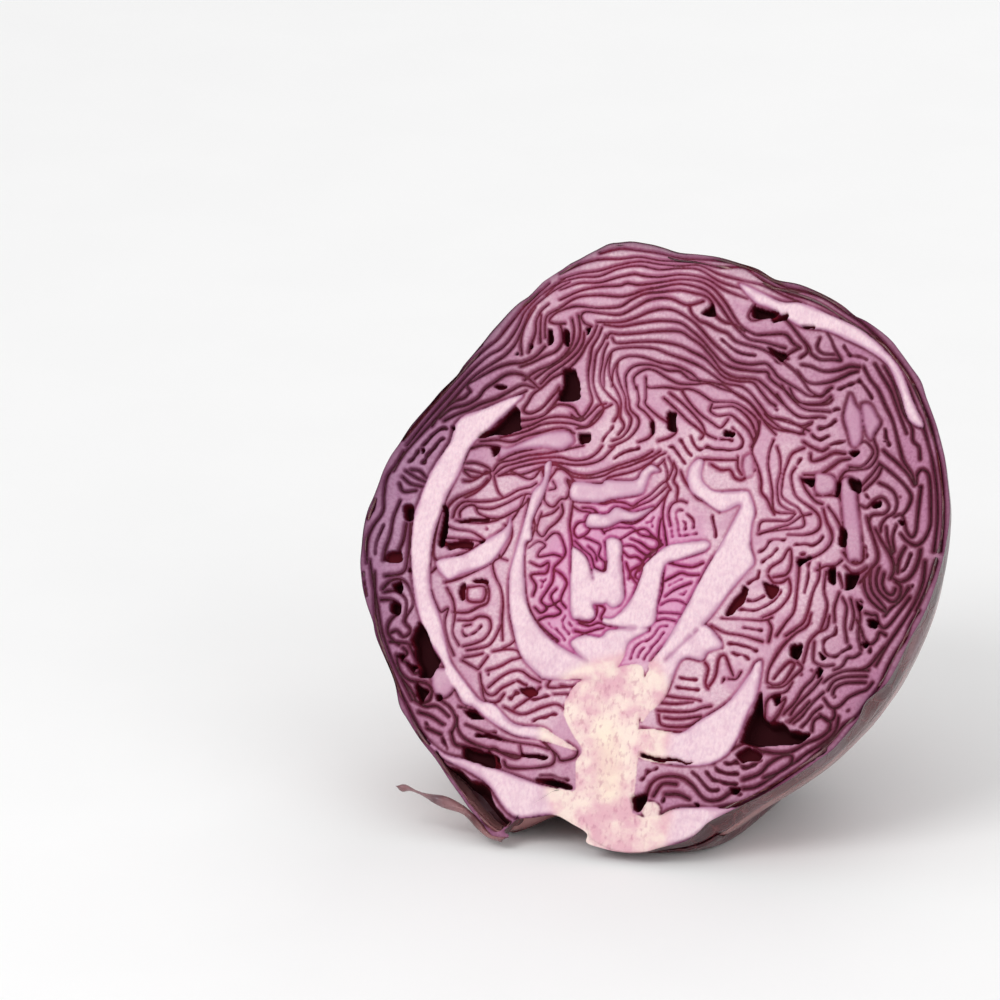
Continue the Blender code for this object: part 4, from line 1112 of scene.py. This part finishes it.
def face_pieces(fields):
    """The cut face as five sheets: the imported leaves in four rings, and the stem."""
    count_x, count_y = int(WIDE / MESH_STEP), int(HIGH / MESH_STEP)
    y, x = np.mgrid[0:count_y, 0:count_x] * MESH_STEP
    x, y = x + LEFT, y + TOP
    within = sample(inside(EDGE_CURVE).astype(float), x, y) > 0.5
    flat = np.stack([x.ravel(), y.ravel()], -1)
    gap = sample(distance_to([EDGE_CURVE], 4), x, y).ravel()
    near_edge = np.nonzero((gap < 1.0 * MESH_STEP) | (~within.ravel() & (gap < 1.6 * MESH_STEP)))[0]
    for start in range(0, len(near_edge), 1500):
        part = near_edge[start:start + 1500]
        away = ((flat[part, None, :] - EDGE_CURVE[None]) ** 2).sum(-1)
        outside = ~within.ravel()[part] | (gap[part] < 0.45 * MESH_STEP)
        nearest = EDGE_CURVE[away.argmin(1)]
        flat[part] = np.where(outside[:, None], nearest, flat[part])
    usable = within.ravel().copy()
    usable[near_edge] = True
    usable = usable.reshape(x.shape)
    cell = usable[:-1, :-1] & usable[1:, :-1] & usable[:-1, 1:] & usable[1:, 1:]
    cell &= within[:-1, :-1] | within[1:, :-1] | within[:-1, 1:] | within[1:, 1:]
    gx, gy = flat[:, 0], flat[:, 1]
    values = {name: sample(field, gx, gy) for name, field in fields.items()}
    crease = np.clip(values["fold"], 0, 1)
    relief = 0.00055 * crease**0.55 + 0.0007 * smoothstep(0.45, 1.0, crease) + 0.001 * values["depth"]
    relief += 0.00016 * sample(cloud(GRID_X.shape, 14, 8), gx, gy) + 0.0003
    relief -= 0.00012 * values["rib"]
    relief = np.maximum(relief, 0.0)
    xz = on_face(flat)
    points = leaned(np.stack([xz[:, 0], relief, xz[:, 1]], -1))
    middle_x, middle_y = x[:-1, :-1] + 0.5 * MESH_STEP, y[:-1, :-1] + 0.5 * MESH_STEP
    stem = sample(inside(STEM_ZONE).astype(float), middle_x, middle_y) > 0.5
    layer = share_of_head(middle_x, middle_y)
    leaf = [f"leaf_{n:02d}" for n in range(1, 16)]
    rings = [
        ("cut_heart", (layer < 0.42) & ~stem, ["heart_leaves"] + leaf[:5], "purple_flesh"),
        ("cut_middle_leaves", (layer >= 0.42) & (layer < 0.66) & ~stem, leaf[5:9], "purple_flesh"),
        ("cut_outer_leaves", (layer >= 0.66) & (layer < 0.84) & ~stem, leaf[9:12], "purple_flesh"),
        ("cut_outermost_leaves", (layer >= 0.84) & ~stem, leaf[12:], "purple_flesh"),
        ("cut_stem", stem, ["core"], "white_rib"),
    ]
    material, hollow_skin_and_shade_material = cut_surface(), hollow_skin_and_shade_surface()
    for name, mask, nodes, slot in rings:
        faces = grid_faces(*x.shape, keep=cell & mask)[:, ::-1]
        used, indices = np.unique(faces, return_inverse=True)
        corners = indices.reshape(-1, 4)
        kept = {field: numbers[used] for field, numbers in values.items()}
        made = mesh_piece(name, points[used], corners, kept, material, nodes)
        made.data.materials.append(hollow_skin_and_shade_material)
        # Faces deep in the hollows take the dark red skin with its painted shade
        deep = (values["hollow"][used][corners].min(1) > 0.8).astype(np.int32)
        made.data.polygons.foreach_set("material_index", deep)


def ridge(value, width):
    return np.exp(-((value / width) ** 2))


def head_skin(material):
    """The outside of the head, from the cut edge back to the middle of the rounded side."""
    angle = np.arange(0, 360, 0.75)[None, :]
    dip = np.concatenate([np.linspace(0, 12, 14), np.linspace(13.5, 90, 52)])[:, None]
    form = tucked(head_form(angle, dip, True), angle, np.maximum(dip, 4.0 * smoothstep(0, 4, dip)))
    wave = 0.0007 * np.sin(np.radians(angle * 5 + 60 * np.sin(np.radians(dip * 4)))) * smoothstep(4, 25, dip)
    size = np.linalg.norm(form, axis=-1)
    points = leaned(placed(form * (1 - (SKIN_DROP * smoothstep(2.5, 12, dip) - wave) / size)[..., None]))
    turn = np.radians(angle * 6 + 9 * np.sin(np.radians(dip * 7)))
    vein = ridge(np.sin(turn), 0.10) * smoothstep(2, 20, dip)
    edge = smoothstep(3.0, 0.0, dip) + 0 * angle
    faces = grid_faces(*points.shape[:2], wrap=True)
    fields = {"vein": 0.4 * vein + 0 * angle, "edge": edge}
    mesh_piece("head_skin", points, faces, fields, material, [])


def side_veins_of(along, degrees_off, half_width, seed):
    """Eleven veins on each side of the midrib, curving up towards the leaf's edge."""
    veins = np.zeros(np.broadcast(along, degrees_off).shape)
    for number in range(11):
        root = 0.06 + 0.085 * number + 0.012 * math.sin(5 * number + seed)
        for side in (-1, 1):
            out = np.clip(side * degrees_off / half_width, 0, None)
            line = root + 0.05 * (number % 2) * (side > 0) + 0.42 * out**0.85 - 0.10 * out**2
            line = line + 0.010 * np.sin(14 * out + seed + number)
            width = 0.0085 * (1 - 0.55 * np.clip(out, 0, 1))
            vein = (out > 0) * ridge(along - line, width) * (1 - 0.7 * np.clip(out, 0, 1))
            veins = np.maximum(veins, vein)
    return veins


def trim_at_knife(made):
    """Cuts off what stands in front of the cut face, and closes the cut."""
    work = bmesh.new()
    work.from_mesh(made.data)
    knife = Vector((0, -math.cos(LEAN), math.sin(LEAN)))
    on_knife = Vector(leaned(np.array([0.0, KNIFE_AT, 0.0])))
    cut = bmesh.ops.bisect_plane(
        work, geom=work.verts[:] + work.edges[:] + work.faces[:], dist=1e-7, plane_co=on_knife,
        plane_no=knife, clear_outer=True,
    )
    bmesh.ops.holes_fill(work, edges=[e for e in cut["geom_cut"] if isinstance(e, bmesh.types.BMEdge)])
    work.to_mesh(made.data)
    work.free()
    made.data.shade_smooth()


def wrapper(name, bearing, layer, length, half_width, seed, material, lift):
    """One big outer leaf: midrib, side veins, puckers between them and a wavy lifted edge."""
    rows, columns = 170, 130
    bearing = math.radians(bearing)
    towards = np.array([math.cos(bearing), math.sin(bearing), 0.0])
    sideways = np.array([-math.sin(bearing), math.cos(bearing), 0.0])
    along = np.linspace(0, 1, rows)[:, None]
    across = np.linspace(-1, 1, columns)[None, :]
    widest = half_width * (0.30 + 0.70 * np.sin(np.pi * np.clip(0.10 + 0.72 * along, 0, 1)) ** 0.8)
    ripple = 1 + 0.05 * np.sin(9 * along * np.pi + seed) * np.abs(across) ** 3
    ripple = ripple + 0.02 * np.sin(31 * along * np.pi + 2 * seed) * np.abs(across) ** 6
    reach = np.radians(7 + (length - 7) * along - 14 * along**3 * across**2)
    spread = np.radians(widest * across * ripple)
    direction = (
        np.cos(spread)[..., None] * np.cos(reach)[..., None] * np.array([0.0, 0.0, -1.0])
        + np.cos(spread)[..., None] * np.sin(reach)[..., None] * towards
        + np.sin(spread)[..., None] * sideways
    )
    angle = np.degrees(np.arctan2(direction[..., 2], direction[..., 0]))
    dip = np.degrees(np.arcsin(np.clip(direction[..., 1], -1, 1)))
    form = tucked(head_form(angle, np.maximum(dip, 0.0), True), angle, np.maximum(dip, 0.0))
    form[..., 1] = np.where(dip < 0, -0.004, form[..., 1])
    size = np.linalg.norm(form, axis=-1)
    degrees_off = across * widest
    midrib = ridge(degrees_off, 2.2 + 2.6 * (1 - along)) * (1 - along) ** 0.8
    side_veins = side_veins_of(along, degrees_off, half_width, seed)
    pucker = np.sin(40 * along + 9 * np.sin(6 * across + seed)) * np.sin(23 * across + 5 * np.sin(8 * along))
    pucker = pucker * (1 - side_veins) * (1 - midrib)
    side_rim = smoothstep(0.80, 1.0, np.abs(across)) + 0 * along
    tip_rim = smoothstep(0.86, 1.0, along) * (length < PAST_CROWN)
    rim = np.clip(np.maximum(side_rim, tip_rim), 0, 1)
    wave = 0.7 + 0.6 * np.sin(17 * along + 4 * across + seed) + 0.3 * np.sin(41 * along - seed)
    lifted = lift * smoothstep(24, 55, dip) * smoothstep(0.040, 0.018, form @ DOWN) * rim**1.5 * wave
    outward = 0.0023 * midrib + 0.00075 * side_veins + 0.00030 * pucker + np.maximum(lifted, -0.0004)
    level = smoothstep(FLOOR_REACH - 0.006, FLOOR_REACH - 0.001, form @ DOWN)
    outward = outward * (1 - level) * smoothstep(8, 35, dip)
    hugging = side_rim**2 * smoothstep(4, 14, dip) * (1 - smoothstep(0.0, 0.0008, lifted))
    outward = outward - hugging * (SKIN_DROP - HUG_GAP + (layer - 1) * size)
    outer = leaned(placed(form * (layer + outward / size)[..., None]))
    inward = outward * (1 - 0.7 * midrib) - BLADE_THICKNESS * (1 - 0.5 * rim)
    inner = leaned(placed(form * (layer + inward / size)[..., None]))
    points = np.concatenate([outer.reshape(-1, 3), inner.reshape(-1, 3)])
    vein = np.clip(0.95 * midrib + 0.75 * side_veins, 0, 1)
    fields = {"vein": np.concatenate([vein.ravel()] * 2), "edge": np.concatenate([(rim**3).ravel()] * 2)}
    blade = name.replace("leaf", "blade")
    made = mesh_piece(
        blade, points, sheet_faces(rows, columns), fields, material, [name],
    )
    trim_at_knife(made)


TORN_STRIP = [
    (395,786),(404,784),(417,790),(431,793),(447,796),(461,803),(470,810),(481,820),(487,827),(497,834),
    (508,835),(500,840),
    (486,835),(476,827),(466,816),(456,810),(441,806),(431,801),(420,794),(409,790),(401,791),
]


def torn_strip(material):
    """The torn strip of wrapper leaf beside the stump, curled along its length."""
    half = len(TORN_STRIP) // 2
    upper = spline(TORN_STRIP[:half + 1], 1.0)
    lower = spline([TORN_STRIP[0]] + TORN_STRIP[:half:-1], 1.0)
    rows, columns = 90, 9
    u = np.linspace(0, 1, rows)
    upper = np.stack([np.interp(u, np.linspace(0, 1, len(upper)), upper[:, k]) for k in (0, 1)], -1)
    lower = np.stack([np.interp(u, np.linspace(0, 1, len(lower)), lower[:, k]) for k in (0, 1)], -1)
    v = np.linspace(0, 1, columns)[None, :, None]
    sheet = on_face(upper[:, None] * (1 - v) + lower[:, None] * v)
    bow = np.sin(math.pi * v[..., 0]) * 0.0012 + 0.0007 * np.sin(u * 21)[:, None]
    front = leaned(np.stack([sheet[..., 0], 0.0012 - bow, sheet[..., 1]], -1))
    back = leaned(np.stack([sheet[..., 0], 0.0021 - bow, sheet[..., 1]], -1))
    points = np.concatenate([front.reshape(-1, 3), back.reshape(-1, 3)])
    vein = np.repeat(0.25 + 0.4 * np.abs(np.sin(9 * u))[:, None], columns, 1).ravel()
    fields = {"vein": np.tile(vein, 2), "edge": np.zeros(2 * rows * columns)}
    faces = sheet_faces(rows, columns)
    mesh_piece("torn_strip", points, faces, fields, material, ["torn_leaf"])


def look_point():
    """Where the camera looks, so that the face's centre falls where the photograph has it."""
    azimuth, elevation = VIEW_AZIMUTH, VIEW_ELEVATION
    right = np.array([math.cos(azimuth), math.sin(azimuth), 0.0])
    level = math.cos(elevation)
    toward = np.array([math.sin(azimuth) * level, -math.cos(azimuth) * level, math.sin(elevation)])
    up = np.cross(toward, right)
    up = up / np.linalg.norm(up)
    centre = leaned(np.array([FACE_CENTRE[0], 0.0, FACE_CENTRE[1]]))
    middle = PICTURE_WIDTH / 2
    aim = centre - right * (FACE_CENTRE_PX[0] - middle) * PX + up * (FACE_CENTRE_PX[1] - middle) * PX
    return aim, toward


def set_stage():
    """A pale floor, soft light from above and both sides, and the photograph's viewpoint."""
    bpy.ops.mesh.primitive_plane_add(size=6)
    floor = bpy.context.object
    floor.name = "floor"
    paper = Surface("pale_floor", 0.9)
    paper.colour(paper.mix((250, 250, 250), (249, 249, 249), paper.noise(0.05)))
    floor.data.materials.append(paper.made)
    world = bpy.data.worlds.new("soft_room")
    world.use_nodes = True
    world.node_tree.nodes["Background"].inputs["Color"].default_value = (1, 1, 1, 1)
    world.node_tree.nodes["Background"].inputs["Strength"].default_value = ROOM_LIGHT
    bpy.context.scene.world = world
    lamps = [
        ("key_light", (-0.7, -1.1, 1.3), 0.9, 10.5), ("fill_light", (1.3, -0.9, 0.8), 1.2, 4.0),
        ("back_light", (0.2, 1.4, 1.2), 1.0, 5.0),
    ]
    for name, place, size, power in lamps:
        lamp = bpy.data.lights.new(name, "AREA")
        lamp.size = size
        lamp.energy = power
        made = bpy.data.objects.new(name, lamp)
        made.location = place
        made.rotation_euler = (Vector((0, 0, 0.06)) - Vector(place)).to_track_quat("-Z", "Y").to_euler()
        bpy.context.scene.collection.objects.link(made)
    aim, toward = look_point()
    camera_data = bpy.data.cameras.new("camera")
    camera_data.sensor_width = SENSOR_WIDTH
    camera_data.lens = SENSOR_WIDTH * CAMERA_DISTANCE / (PICTURE_WIDTH * PX)
    camera = bpy.data.objects.new("camera", camera_data)
    camera.location = Vector(aim) + Vector(toward) * CAMERA_DISTANCE
    camera.rotation_euler = (-Vector(toward)).to_track_quat("-Z", "Y").to_euler()
    bpy.context.scene.collection.objects.link(camera)
    bpy.context.scene.camera = camera
    bpy.context.scene.view_settings.view_transform = "Standard"


face_pieces(draw_face())
head_skin(skin_surface("head_skin_surface", 0.75))
wrapper("wrapper_leaf_left", 168, 0.998, 178, 62, 0.4, skin_surface("left_leaf_surface"), 0.0016)
wrapper("wrapper_leaf_right", 12, 0.983, 178, 62, 2.1, skin_surface("right_leaf_surface"), 0.0016)
wrapper("wrapper_leaf_back", 88, 1.003, 186, 58, 4.0, skin_surface("back_leaf_surface"), 0.0022)
torn_strip(skin_surface("torn_strip_surface", 0.6))
set_stage()
